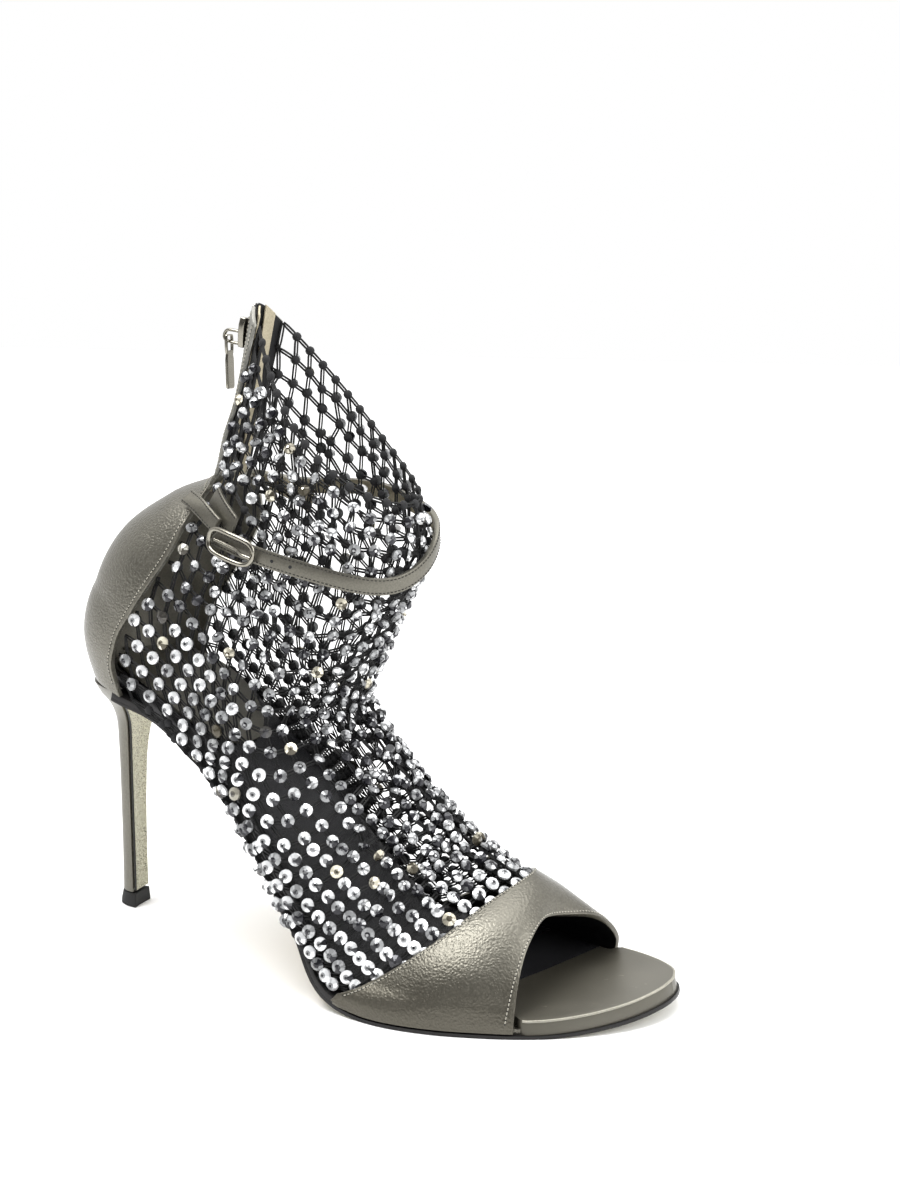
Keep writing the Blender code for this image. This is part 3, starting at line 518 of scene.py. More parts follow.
def sock_finish():
    f = Finish("sock_satin", (0.012, 0.012, 0.012), 0.3, Specular_IOR_Level=0.35)
    axis = f.tree.nodes.new("ShaderNodeSeparateXYZ")
    f.feed(axis.inputs[0], f.spot)
    x, y = Wire(f, axis.outputs["X"]), Wire(f, axis.outputs["Y"])
    front = (x * 1000.0 - y * (1000.0 * TOE_WRAP[1]) - TOE_WRAP[0]).between(-0.25, 0.25)
    slow = f.noise(15.0, 3.0)
    fine = f.noise(0.4, 3.0)
    rub = f.noise(2.2, 5.0, 0.6, 0.8).between(0.64, 0.74) * slow.between(0.5, 0.62)
    satin = f.blend(slow, (0.010, 0.010, 0.011, 1), (0.020, 0.020, 0.022, 1))
    pewter = f.blend(slow, tone(PEWTER, 0.86), tone(PEWTER, 1.1))
    pewter = f.blend(rub * 0.5, pewter, (0.6, 0.56, 0.48, 1))
    part = f.node("ShaderNodeAttribute", None, {"attribute_name": "wrap"}, "Fac")
    # Painted shade: the pewter wrap darkens towards the toe band, where the band overhangs it.
    tread = (x * 1000.0 - y * (600.0 * TOE_WRAP[1]) + slow * 8.0).between(206.0, 172.0)
    pewter = f.blend(tread * 0.75, pewter, tone((0.060, 0.054, 0.038), 1.0))
    # Painted shade: the platform's side faces, marked by the wrap attribute, are darkened.
    pewter = f.blend(part.between(0.2, 0.3) * 0.45, pewter, tone((0.060, 0.056, 0.045), 1.0))
    f.set("Base Color", f.blend(front, satin, pewter))
    f.set("Metallic", front * 0.6)
    f.set("Roughness", 0.26 + front * 0.13 + (slow - 0.5) * 0.1)
    f.set("Normal", f.bump(fine, 0.025))
    return f.mat


sock = sock_finish()

# %% Glitter, metal and stone finishes


def glitter_finish():
    colour = (0.40, 0.38, 0.28)
    f = Finish("champagne_glitter", colour, 0.36, 0.6)
    flake = f.cells(0.26, "Color")
    gray = f.node("ShaderNodeSeparateColor", {0: flake}, out=0)
    height = f.cells(0.26)
    shade = f.blend(gray, tone(colour, 0.36), tone((0.58, 0.56, 0.42), 1.0))
    f.set("Base Color", shade)
    f.set("Roughness", 0.22 + gray * 0.25)
    f.set("Normal", f.bump(gray * 1.4 + height, 0.045))
    return f.mat


def metal_finish(name, colour, rough):
    f = Finish(name, colour, rough, 1.0)
    haze = f.noise(3.0, 3.0)
    f.set("Base Color", f.blend(haze, tone(colour, 0.85), tone(colour, 1.12)))
    f.set("Roughness", rough + (haze - 0.5) * 0.12)
    f.set("Normal", f.bump(f.noise(0.8, 2.0), 0.01))
    return f.mat


def stone_finish():
    f = Finish("cut_stone", (0.9, 0.9, 0.9), 0.04, 0.4)
    # The base colour is a painted reflection: the facet attribute makes each facet dark, gray or white, and hue
    # turns a few stones warm or dark.
    facet = f.node("ShaderNodeAttribute", None, {"attribute_name": "facet"}, "Fac")
    hue = f.node("ShaderNodeAttribute", None, {"attribute_name": "hue"}, "Fac")
    clear = f.blend(facet.between(0.24, 0.36), (0.02, 0.02, 0.024, 1), (0.30, 0.305, 0.31, 1))
    clear = f.blend(facet.between(0.50, 0.76), clear, (0.90, 0.91, 0.92, 1))
    warm = f.blend(facet.between(0.3, 0.7), (0.08, 0.07, 0.05, 1), (0.86, 0.81, 0.66, 1))
    shown = f.blend(hue.between(0.93, 0.935), clear, warm)
    shown = f.blend(hue.between(0.975, 0.98), shown, (0.04, 0.04, 0.045, 1))
    f.set("Base Color", shown)
    f.set("Roughness", 0.05 + f.noise(1.5) * 0.04)
    return f.mat


glitter = glitter_finish()
nickel = metal_finish("dark_nickel", (0.27, 0.255, 0.215), 0.24)
tooth_metal = metal_finish("tooth_metal", (0.30, 0.29, 0.27), 0.3)
stone = stone_finish()
print(len(bpy.data.materials), "materials")

# %% [markdown]
# ## From a flat grid to a leather piece
#
# A cutter lays a flat skin over the last and pulls it into shape. The helper does the same: it
# adds a flat grid, moves each of its points to the row of a surface that it belongs to, gives
# the skin its wall, and rounds the cut edges. A tube is the same grid with its two long sides
# joined and its ends closed.

# %% Piece helpers


def deselect():
    if bpy.context.object and bpy.context.object.mode != "OBJECT":
        bpy.ops.object.mode_set(mode="OBJECT")
    bpy.ops.object.select_all(action="DESELECT")


def apply_all(ob):
    bpy.context.view_layer.objects.active = ob
    for mod in list(ob.modifiers):
        bpy.ops.object.modifier_apply(modifier=mod.name)


def finish_piece(ob, name, mats, nodes=(), body="shoe", angle=38):
    """Name, smooth, finish and register a piece."""
    ob.name = ob.data.name = name
    if not len(ob.data.materials):
        for m in mats:
            ob.data.materials.append(m)
    deselect()
    ob.select_set(True)
    bpy.context.view_layer.objects.active = ob
    if angle:
        bpy.ops.object.shade_smooth_by_angle(angle=math.radians(angle))
    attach(ob, body)
    if nodes:
        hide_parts(*nodes)
    ob.data.calc_loop_triangles()
    print(name, len(ob.data.loop_triangles), "triangles")
    return ob


def laid_grid(name, rows, core, mats, wall=0.0, edge=0.0, inner=0, rim=0, closed=False):
    """A grid laid on rows of points, facing away from core, with a wall and rounded edges."""
    rows = np.asarray(rows, float)
    nv, nu = rows.shape[:2]
    deselect()
    bpy.ops.mesh.primitive_grid_add(x_subdivisions=nu - 1, y_subdivisions=nv - 1, size=1.0)
    ob = bpy.context.object
    for v in ob.data.vertices:
        i, j = round((v.co.x + 0.5) * (nu - 1)), round((v.co.y + 0.5) * (nv - 1))
        v.co = Vector(rows[j, i]) * MM
    for m in mats:
        ob.data.materials.append(m)
    bpy.ops.object.mode_set(mode="EDIT")
    bpy.ops.mesh.select_all(action="SELECT")
    if closed:
        bpy.ops.mesh.remove_doubles(threshold=1e-6)
        bpy.ops.mesh.select_all(action="SELECT")
        bpy.ops.mesh.fill_holes(sides=0)
        bpy.ops.mesh.select_all(action="SELECT")
        bpy.ops.mesh.normals_make_consistent(inside=False)
    bpy.ops.object.mode_set(mode="OBJECT")
    if not closed:
        c = Vector(core) * MM
        if sum((p.normal.dot(p.center - c) * p.area for p in ob.data.polygons)) < 0:
            ob.data.flip_normals()
    if wall:
        sol = ob.modifiers.new("wall", "SOLIDIFY")
        sol.thickness, sol.offset = wall * MM, -1
        sol.material_offset, sol.material_offset_rim = inner, rim
    if edge:
        bev = ob.modifiers.new("edge", "BEVEL")
        bev.width, bev.segments, bev.limit_method = edge * MM, 3, "ANGLE"
        bev.angle_limit = math.radians(55)
    apply_all(ob)
    return ob


def copies(name, master, places, mats, scale=None, faces=None):
    """One joined mesh of copies of a small master piece, placed by matrices."""
    me = master.data
    co = np.array([v.co for v in me.vertices])
    polys = [list(p.vertices) for p in me.polygons]
    verts = np.vstack([co @ np.array(m.to_3x3()).T + np.array(m.translation) for m in places])
    n = len(co)
    out = bpy.data.meshes.new(name)
    out.from_pydata(verts.tolist(), [], [[i + k * n for i in p] for k in range(len(places)) for p in polys])
    if faces:
        for key, values in faces.items():
            out.attributes.new(key, "FLOAT", "FACE").data.foreach_set("value", values)
    ob = bpy.data.objects.new(name, out)
    bpy.context.scene.collection.objects.link(ob)
    bpy.data.objects.remove(master, do_unlink=True)
    return ob


def tubes(name, paths, radius, sides=1, cyclic=False):
    """Round cords swept along polylines, as one curve turned into a mesh."""
    cu = bpy.data.curves.new(name, "CURVE")
    cu.dimensions = "3D"
    cu.bevel_depth, cu.bevel_resolution = radius * MM, sides
    cu.use_fill_caps = not cyclic
    for pts in paths:
        sp = cu.splines.new("POLY")
        sp.points.add(len(pts) - 1)
        sp.points.foreach_set("co", np.c_[np.array(pts) * MM, np.ones(len(pts))].ravel())
        sp.use_cyclic_u = cyclic
    ob = bpy.data.objects.new(name, cu)
    bpy.context.scene.collection.objects.link(ob)
    deselect()
    ob.select_set(True)
    bpy.context.view_layer.objects.active = ob
    bpy.ops.object.convert(target="MESH")
    return bpy.context.object


def frame_at(at, ahead, out):
    """A matrix at a point (mm) with local X along ahead and local Z along out."""
    z = unit(np.asarray(out, float))
    x = unit(ahead - z * np.dot(ahead, z))
    y = np.cross(z, x)
    m = Matrix((x, y, z)).transposed().to_4x4()
    m.translation = Vector(at) * MM
    return m


# %% [markdown]
# ## Outsole and insole
#
# The thin sole follows the arch. Its edge is painted black over a thin bare line of the
# leather, and the tread is covered with glitter. Faces get their finish by the way they look:
# sideways, obliquely at the small bevel, or down.

# %% Sole sheets


def sole_rows(x0, x1, inset, lift, waist=(0, 0), along=96, across=17):
    la = inset_outline(-1, inset(LAT[:, 0], waist[0]))
    me = inset_outline(1, inset(MED[:, 0], waist[1]))
    rows = []
    for t in np.linspace(0, 1, along):
        x = (x0 + (x1 - 26 - x0) * t / 0.8 if t < 0.8
             else x1 - 26 * (1 - math.sin(math.pi / 2 * (t - 0.8) / 0.2)))
        yl, ym = np.interp(x, la[:, 0], la[:, 1]), np.interp(x, me[:, 0], me[:, 1])
        nx, nz = feather_normal(x)
        rows.append([(x + nx * lift, yl + (ym - yl) * s, feather(x) + nz * lift)
                     for s in np.linspace(0, 1, across)])
    return rows


def outsole_inset(x, waist):
    return 0.35 + waist * smooth(14, 34, x) * (1 - smooth(88, 108, x))


def rand_inset(x, waist):
    """The rand steps back in front, where the wrapped edge comes down over it."""
    return outsole_inset(x, waist) + 1.2 * smooth(112, 122, x)


rand_rows = sole_rows(15.2, 207.6, rand_inset, 0.0, (5.0, 1.6))
rand_piece = laid_grid("rand", rand_rows, (100, 0, -500), [leather, edge_paint], wall=1.75, edge=0.25)
for p in rand_piece.data.polygons:
    p.material_index = 0 if p.center.x > 0.112 else 1
finish_piece(rand_piece, "sole_rand", [], ["outsole"])
tread_rows = sole_rows(15.2, 209.0, outsole_inset, -1.8, (5.0, 1.6))
tread = laid_grid("tread", tread_rows, (100, 0, -500), [glitter, edge_paint, raw_edge], wall=1.2, edge=0.32, rim=1)
for p in tread.data.polygons:
    down = -p.normal.z
    p.material_index = 0 if down > 0.85 and p.area > 2e-7 else 1 if down < 0.3 else 2
finish_piece(tread, "sole_tread", [], ())


def insole_inset(x, band_end):
    covered = 1 - smooth(band_end, band_end + 6, x)
    return (0.7 + 4.0 * covered + 1.0 * (1 - smooth(15, 40, x))
            + 3.0 * smooth(100, 112, x) * (1 - smooth(142, 160, x)))


def sock_inset(x, band_end):
    """The sock comes out to the wrapped edge right in front of the toe band."""
    covered = 1 - smooth(band_end, band_end + 1.8, x)
    return (0.7 + 4.0 * covered + 1.0 * (1 - smooth(15, 40, x))
            + 3.0 * smooth(100, 112, x) * (1 - smooth(142, 160, x)))


sock_rows = np.array(sole_rows(1.8, 208.6, sock_inset, 5.2, (170.0, 181.6), 150))
sock_rows[..., 2] -= 2.0 * np.clip((sock_rows[..., 0] - 140) / 26, 0, 1)
insole = laid_grid("insole", sock_rows, (100, 0, -500), [sock], wall=5.2, edge=1.5)
# wrap marks the side faces of the platform, which the sock finish darkens as painted shade.
wrap = [0.0 if p.normal.z > 0.30 else 1.0 for p in insole.data.polygons]
insole.data.attributes.new("wrap", "FLOAT", "FACE").data.foreach_set("value", wrap)
finish_piece(insole, "sock_lining", [], ["insole"])
edge_path = ([r[0] for r in sock_rows if r[0][0] > 170.5] + list(sock_rows[-1][1:-1])
             + [r[-1] for r in sock_rows[::-1] if r[-1][0] > 182.5])
# A paler tube along the rounded top edge of the platform: painted highlight and wear.
arris = tubes("platform_arris", [[q - np.array((0, 0, 0.30)) for q in edge_path]], 0.42, sides=2)
finish_piece(arris, "platform_arris", [worn_highlight_leather], (), angle=60)

# %% Seat pad
lat_in = inset_outline(-1, insole_inset(LAT[:, 0], 170) + 1.6)
med_in = inset_outline(1, insole_inset(MED[:, 0], 170) + 1.6)
rows = []
for t in np.linspace(0, 1, 34):
    x = 1.4 + 52 * (t ** 1.3)
    yl, ym = np.interp(x, lat_in[:, 0], lat_in[:, 1]), np.interp(x, med_in[:, 0], med_in[:, 1])
    k = math.sqrt(max(0.0, 1 - max(0.0, (x - 34) / 19.8) ** 2))
    nx, nz = feather_normal(x)
    mid = 0.5 * (yl + ym)
    rows.append([(x + nx * 6.5, mid + (ym - yl) * k * (s - 0.5), feather(x) + nz * 6.5)
                 for s in np.linspace(0, 1, 15)])
pad = laid_grid("seat_pad", rows, (30, 0, -500), [pad_leather], wall=1.0, edge=0.35)
finish_piece(pad, "seat_pad_leather", [], ["seat_pad"])

# %% [markdown]
# ## The toe band
#
# The band is cut from the same skin as the counter and lined with black. Over the crest it
# stands in a soft ridge, and beside the ridge it sinks a little, which is where the light
# breaks in the photo. Small soft troughs are added to the solid's surface for that.

# %% Toe band
TROUGHS = [(0.30, 0.55, 0.10, 0.5, -0.7), (0.72, 0.5, 0.10, 0.5, -0.6), (0.16, 0.45, 0.07, 0.3, 0.35),
           (0.57, 1.05, 0.09, 0.30, -2.3)]


def band_dressed(w, s):
    lift = sum(h * math.exp(-((w - a) / c) ** 2 - ((s - b) / d) ** 2) for a, b, c, d, h in TROUGHS)
    fade = smooth(0, 0.1, w) * smooth(1, 0.9, w)
    p = band(w, s, lift * fade)
    p[2] -= 1.8 * max(0.0, 1 - min(w, 1 - w) / 0.025)
    return p


rows = [[band_dressed(w, s) for w in np.linspace(0, 1, 121)] for s in np.linspace(0, 1, 37)]
toe_band = laid_grid("toe_band", rows, (150, 0, 0), [band_leather, black_lining], wall=1.75, edge=0.5, inner=1)
finish_piece(toe_band, "toe_band", [], ["vamp_band"], angle=60)

# %% [markdown]
# ## The heel counter
#
# A stiff leather cup holds the heel. It lies over the net's lower back and its front edges
# sweep up to the foot of the zip.

# %% Counter
COUNTER_EDGE = [(0.0, 20.0), (0.6, 18.4), (1.2, 20.4), (2.0, 26.4), (3.0, 34.8), (4.0, 43.5),
                (4.6, 48.0), (5.0, 50.5)]
COUNTER_OFF = 2.5
edge_k, edge_x = np.array(COUNTER_EDGE).T
edge_curve = spline(COUNTER_EDGE, 8)


def counter_x(k):
    return float(np.interp(k, edge_k, edge_x))


def counter_x_soft(k):
    return float(np.interp(k, edge_curve[:, 0], edge_curve[:, 1]))


def counter_point(k, s, extra=0.0):
    """s runs from the medial front edge (-1) over the back (0) to the lateral edge (1)."""
    v = k / ROWS
    side = -1 if s > 0 else 1
    u = u_at_x(counter_x_soft(k), v, side)
    u = abs(s) * (u if side < 0 else 1 - u)
    off = COUNTER_OFF + 0.6 * math.exp(-((k - 4.5) / 0.5) ** 2) + extra
    p = upper(u if side < 0 else -u, v, off)
    p[2] += 0.15 * (1 - smooth(0.0, 0.5, k))
    return p


rows = [[counter_point(k, s) for s in np.linspace(-1, 1, 65)] for k in np.linspace(0, 5, 49)]
counter = laid_grid("counter", rows, (40, 0, 110), [leather, cup_lining], wall=1.75, edge=0.45, inner=1)
finish_piece(counter, "heel_counter", [], ["counter"], angle=60)

# %% [markdown]
# ## The knotted net
#
# The net is knotted square and drapes in lozenges. Hoops run across the foot with the edge of
# the toe band, then level round the ankle, then with the hem. Warps run up from the toe band.
# A knot has a place (m, p): m warps from the front line, p hoops up from the toe band. The
# hoops below the heel corner end on the sole, the higher ones at the counter and the zip.

# %% Lattice of the knots
HOOPS, HEEL_HOOP = 30.5, 12.5
WARPS = {0.0: 11.4, 5.0: 15.0, 10.0: 17.2, 12.5: 18.2, 15.0: 17.4, 17.5: 15.4, 20.0: 14.5, 25.0: 14.6, 30.5: 14.1}
CORNER_U, HEEL_U = 0.335, 0.080


def arc_u(mm, v):
    """u at a given arc length from the back line."""
    p, q = upper_raw(0, v), upper_raw(0.02, v)
    return mm / max(np.linalg.norm(q - p) / 0.02, 1e-6)


def along_line(uv):
    """Arc length along a line of (u, v) points on the net."""
    pts = np.array([upper_raw(*q) for q in uv])
    return np.r_[0, np.cumsum(np.linalg.norm(np.diff(pts, axis=0), axis=1))]


front_uv = np.array([(0.5, v) for v in np.linspace(0, 1, 81)])
front_arc = along_line(front_uv)
back_uv = {}
for side in (-1, 1):
    line = []
    for k in np.linspace(0, 8, 81):
        u = u_at_x(counter_x(k), k / ROWS, side) if k <= 5 else arc_u(9.0, k / ROWS) * -side
        line.append((u % 1 if side < 0 else 1 - u % 1, k / ROWS))
    back_uv[side] = np.array(line)
back_arc = {side: along_line(back_uv[side]) for side in (-1, 1)}


def hoop_ends(p, side):
    """Front v, and share and v of the far end of a hoop; the share is u counted from the back."""
    v_front = np.interp(p / HOOPS * front_arc[-1], front_arc, front_uv[:, 1])
    if p <= HEEL_HOOP:
        return v_front, CORNER_U + (HEEL_U - CORNER_U) * p / HEEL_HOOP, 0.0
    s = (p - HEEL_HOOP) / (HOOPS - HEEL_HOOP) * back_arc[side][-1]
    u = np.interp(s, back_arc[side], back_uv[side][:, 0])
    return v_front, u, np.interp(s, back_arc[side], back_uv[side][:, 1])


def warps_at(p):
    """Warps between the front line and the end of a hoop."""
    return float(np.interp(p, list(WARPS), list(WARPS.values())))


def hoop_line(p, side):
    """(u, v) points along a hoop, from the front line to its end, and their arc length."""
    v_front, share_end, v_end = hoop_ends(p, side)
    f = np.linspace(0, 1, 33)
    share = 0.5 + (share_end - 0.5) * f
    bend = 1 + 0.45 * (1 - smooth(1, 9, p))
    uv = np.stack([share if side < 0 else 1 - share, v_front + (v_end - v_front) * f ** bend], -1)
    return uv, along_line(uv)


HOOP_STEPS = np.arange(0, HOOPS + 0.26, 0.25)
hoop_lines = {side: [hoop_line(p, side) for p in HOOP_STEPS] for side in (-1, 1)}


def knot_uv(m, p):
    """Where a knot lies: warps share each hoop by arc length, closer on the crest."""
    side = -1 if m >= 0 else 1
    i = min(max(p, 0.0), HOOPS) / 0.25
    a = min(int(i), len(HOOP_STEPS) - 2)
    found = []
    share = min(abs(m) / warps_at(p), 1.0)
    crowd = 0.12 * (1 - smooth(HEEL_HOOP, HEEL_HOOP + 4, p))
    share = share * (1 - crowd) + crowd * share ** 3
    for uv, arc in hoop_lines[side][a:a + 2]:
        s = share * arc[-1]
        found.append(np.array([np.interp(s, arc, uv[:, 0]), np.interp(s, arc, uv[:, 1])]))
    at = found[0] * (1 - (i - a)) + found[1] * (i - a)
    return float(at[0]), float(at[1])


print("hoop lengths, mm:", {round(float(p), 1): (round(hoop_lines[-1][i][1][-1]), round(hoop_lines[1][i][1][-1]))
                            for i, p in enumerate(HOOP_STEPS) if i % 10 == 0})


def hidden(u, v, margin):
    """True where leather covers the net: below the counter or the zip facings."""
    k = v * ROWS
    if k > 5.05:
        return min(u % 1, 1 - u % 1) < arc_u(9.6 + margin, v)
    return upper_raw(u, v)[0] < counter_x(k) + margin


def slack(u, v):
    """0 where the net is stretched flat on the sides of the foot, 1 where it hangs in folds."""
    crest = smooth(0.15, 0.07, abs(0.5 - u % 1)) * smooth(0.02, 0.12, v)
    return max(crest, smooth(2.6, 4.4, v * ROWS))


FIRST = 0.42
knots = {}
for m in range(-19, 20):
    for p in range(0, 31):
        at = min(p + FIRST, HOOPS)
        if abs(m) <= warps_at(at) + 0.25:
            u, v = knot_uv(m, at)
            loose = slack(u, v) * smooth(1.0, 0.93, v) * smooth(0.02, 0.10, v)
            stir = rng.normal(size=2) * loose * 0.9
            dv = 1 / max(np.linalg.norm(upper_raw(u, min(v + 0.02, 1)) - upper_raw(u, max(v - 0.02, 0))) / 0.04, 40)
            knots[m, p] = (u + arc_u(stir[0], v), min(v + stir[1] * dv, 1.0))
TOP = max(p for m, p in knots)
shown = {k: (u, v) for k, (u, v) in knots.items() if v > 0.004 and not hidden(u, v, 0.6)}
print(len(shown), "knots show")

# %% Cords, two side by side on each link


def sole_end(m):
    """Where a warp that starts at the sole meets it."""
    low, high = 0.0, HEEL_HOOP
    for _ in range(20):
        mid = 0.5 * (low + high)
        low, high = (mid, high) if warps_at(mid) < abs(m) else (low, mid)
    return knot_uv(m, low)


def counter_end(m):
    """Where a warp that ends at the counter meets it."""
    low, high = HEEL_HOOP, 20.0
    for _ in range(20):
        mid = 0.5 * (low + high)
        low, high = (mid, high) if warps_at(mid) > abs(m) else (low, mid)
    return knot_uv(m, low)


links = []
for (m, p), place in knots.items():
    at = min(p + FIRST, HOOPS)
    if (m + 1, p) in knots:
        links.append((place, knots[m + 1, p]))
    if (m, p + 1) in knots:
        links.append((place, knots[m, p + 1]))
    if p == 0 and abs(m) < WARPS[0.0]:
        links.append((knot_uv(m, 0.0), place))
    elif HEEL_HOOP < at < 20 and (m, p + 1) not in knots:
        links.append((place, counter_end(m)))
    elif (m, p - 1) not in knots and at < HEEL_HOOP + 1:
        links.append((sole_end(m), place))
    step = 1 if m > 0 else -1
    if (m + step, p) not in knots and m and abs(m) < warps_at(at) - 0.1:
        links.append((place, knot_uv(step * warps_at(at), at)))
paths = []
for (u, v), (u2, v2) in links:
    if hidden(u, v, -2.5) and hidden(u2, v2, -2.5):
        continue
    uv = [(u + (u2 - u) * t, v + (v2 - v) * t) for t in (0.0, 0.3, 0.7, 1.0)]
    pts = np.array([upper_raw(*q) for q in uv])
    if np.linalg.norm(pts[-1] - pts[0]) < 0.8:
        continue
    n = unit(upper_normal(*uv[0]) + upper_normal(*uv[3]))
    aside = unit(np.cross(pts[-1] - pts[0], n))
    for k in (-1, 1):
        spread = np.array([0.28, 0.46, 0.46, 0.28])[:, None] * k
        paths.append(pts + aside * spread - n * 0.55)
cords = tubes("net_cords", paths, 0.35, sides=0)
finish_piece(cords, "net_cords", [cord_black], ["net_upper"], angle=60)
lengths = [np.linalg.norm(q[-1] - q[0]) for q in paths]
print(len(paths), "cords, middle length", round(float(np.median(lengths)), 1), "mm")

# %% [markdown]
# Knots and stones are each modelled once: a squashed ball, and a round-cut stone whose top is
# extruded and narrowed twice, so it has a girdle, two rings of facets and a table.

# %% Knots
deselect()
bpy.ops.mesh.primitive_ico_sphere_add(subdivisions=2, radius=1.0)
ball = bpy.context.object
for v in ball.data.vertices:
    v.co = Vector((v.co.x * 1.6, v.co.y * 1.6, v.co.z * 1.1 - 0.25)) * MM
places, spots = [], []
for (m, p), (u, v) in sorted(shown.items()):
    n = upper_normal(u, v)
    along = upper_raw(u + 0.01, v) - upper_raw(u - 0.01, v)
    places.append(frame_at(upper_raw(u, v) - n * 0.45, along, n))
    spots.append((m, p, u, v, n, along))
knot_mesh = copies("net_knots", ball, places, [])
finish_piece(knot_mesh, "net_knots", [knot_black], (), angle=80)

# %% Cut stones
STONE = 2.2
deselect()
bpy.ops.mesh.primitive_cylinder_add(vertices=14, radius=STONE * MM, depth=0.7 * MM)
cut = bpy.context.object
bpy.ops.object.mode_set(mode="EDIT")
bpy.ops.mesh.select_mode(type="FACE")
bpy.ops.mesh.select_all(action="DESELECT")
bpy.ops.object.mode_set(mode="OBJECT")
for p in cut.data.polygons:
    p.select = p.normal.z > 0.9
bpy.ops.object.mode_set(mode="EDIT")
for rise, narrow in ((0.70, 0.46), (0.30, 0.46)):
    bpy.ops.mesh.extrude_region_move(TRANSFORM_OT_translate={"value": (0, 0, rise * MM)})
    bpy.ops.transform.resize(value=(narrow, narrow, 1))
bpy.ops.object.mode_set(mode="OBJECT")
faces_each = len(cut.data.polygons)
places, facet, hue = [], [], []


def tab_near(u, v):
    """Where the small collar tabs lie on the net."""
    a = min(u, 1 - u)
    t = (a - 0.088) / 0.076
    return -0.1 < t < 1.02 and abs(v * ROWS - (5.15 + 0.21 * t)) < 0.31


def bare_rim(u, v):
    """Knots along the sole carry no stone; beside the toe band they do."""
    a = min(u, 1 - u)
    off = np.linalg.norm(upper_raw(u, v) - upper_raw(u, 0))
    return off < (6.0 + 6.0 * smooth(0.10, 0.18, a) * smooth(0.335, 0.27, a) if a < CORNER_U - 0.01 else 1.1)


table_face = max(range(faces_each), key=lambda i: cut.data.polygons[i].center.z)
cut_normals = [p.normal.copy() for p in cut.data.polygons]
inner_ring = [math.hypot(p.center.x, p.center.y) < 0.42 * STONE * MM and p.normal.z > 0.1
              for p in cut.data.polygons]
for m, p, u, v, n, along in spots:
    if p == TOP or bare_rim(u, v) or tab_near(u, v):
        continue
    turn = rng.uniform(0, math.pi)
    side = np.cross(n, unit(along))
    loose = slack(u, v)
    tip = n + (0.09 + 0.30 * loose) * rng.normal(size=3)
    place = frame_at(upper_raw(u, v) + n * 0.95, unit(along) * math.cos(turn) + side * math.sin(turn), tip)
    # Painted reflection: each facet gets a brightness; facets turned towards a fixed downward direction are
    # darkened, the inner ring and the table too, and stones where the net is slack are duller.
    dark_facet_dir = unit(np.array((0.45, 0.0, -1.0)) + 0.7 * rng.normal(size=3))
    painted_shine = rng.uniform(0.66 - 0.26 * loose, 0.94, faces_each)
    painted_shine *= rng.choice((1.0, 0.66, 0.4), p=(0.66 - 0.22 * loose, 0.24 + 0.16 * loose, 0.10 + 0.06 * loose))
    for i, q in enumerate(cut_normals):
        w = np.array(place.to_3x3() @ q)
        if abs(q.z) < 0.95 and np.dot(unit(w - n * np.dot(w, n)), dark_facet_dir) > 0.80 - 0.25 * loose:
            painted_shine[i] *= 0.3
        elif inner_ring[i]:
            painted_shine[i] *= 0.52
    painted_shine[table_face] = rng.uniform(0.05, 0.30 + 0.5 * loose)
    place = place @ Matrix.Diagonal((1 - 0.13 * loose, 1 - 0.13 * loose, 1, 1))
    places.append(place)
    facet += list(painted_shine)
    hue += [rng.uniform(0, 1)] * faces_each
stones = copies("net_stones", cut, places, [], faces={"facet": facet, "hue": hue})
finish_piece(stones, "net_stones", [stone], (), angle=0)
print(len(places), "stones")

# %% [markdown]
# ## Zip: facings, lining, teeth, slider and pull
#
# Two leather facings hold the zip at the back of the shaft, and a pale lining strip backs each of them inside.
# The teeth are one small hook copied left and right along the tapes.

# %% Facings and lining strips


def strip_rows(a_mm, b_mm, k0, k1, off, along=44, across=7, crown=0.0):
    rows = []
    for k in np.linspace(k0, k1, along):
        v = k / ROWS
        a, b = arc_u(a_mm, v), arc_u(b_mm, v)
        low = off + 1.1 * (1 - smooth(5.5, 6.5, k)) * (off > 0)
        rows.append([upper(a + (b - a) * s, v, low + crown * math.sin(math.pi * s))
                     for s in np.linspace(0, 1, across)])
    return rows


for side, sign in (("lateral", 1), ("medial", -1)):
    strip = laid_grid("zip_facing", strip_rows(sign * 3.1, sign * 9.6, 5.12, 7.98, 1.6, crown=0.15),
                      (80, 0, 190), [facing_leather, black_lining], wall=1.3, edge=0.3, inner=1)
    finish_piece(strip, "facing_" + side, [], ["zip_facing_" + side], angle=60)
    strip = laid_grid("zip_lining", strip_rows(sign * 2.4, sign * 6.4, 4.4, 7.99, -0.5),
                      (80, 0, 190), [champagne], wall=0.7, edge=0.2)
    finish_piece(strip, "facing_lining_" + side, [], (), angle=60)
    strip = laid_grid("zip_tape", strip_rows(sign * 0.5, sign * 4.6, 5.12, 7.97, 0.9), (80, 0, 190),
                      [tape_black], wall=0.5, edge=0.1)
    finish_piece(strip, "zip_tape_" + side, [], (), angle=60)

# %% Zip teeth
deselect()
bpy.ops.mesh.primitive_cube_add(size=1.0)
tooth = bpy.context.object
for v in tooth.data.vertices:
    tip = 0.75 if v.co.x > 0 else 1.0
    v.co = Vector(((v.co.x + 0.28) * 2.0, v.co.y * 0.72 * tip, v.co.z * 1.25)) * MM
bev = tooth.modifiers.new("round", "BEVEL")
bev.width, bev.segments = 0.16 * MM, 1
apply_all(tooth)
places = []
ks = np.linspace(5.2, 7.93, 86)
for i, k in enumerate(ks):
    v = k / ROWS
    n = upper_normal(0, v)
    up = upper_raw(0, min(v + 0.01, 1)) - upper_raw(0, v - 0.01)
    across = unit(np.cross(up, n)) * (1 if i % 2 else -1)
    low = 1.35 + 0.9 * (1 - smooth(5.5, 6.5, k))
    places.append(frame_at(upper_raw(0, v) + n * low - across * 0.75, across, n))
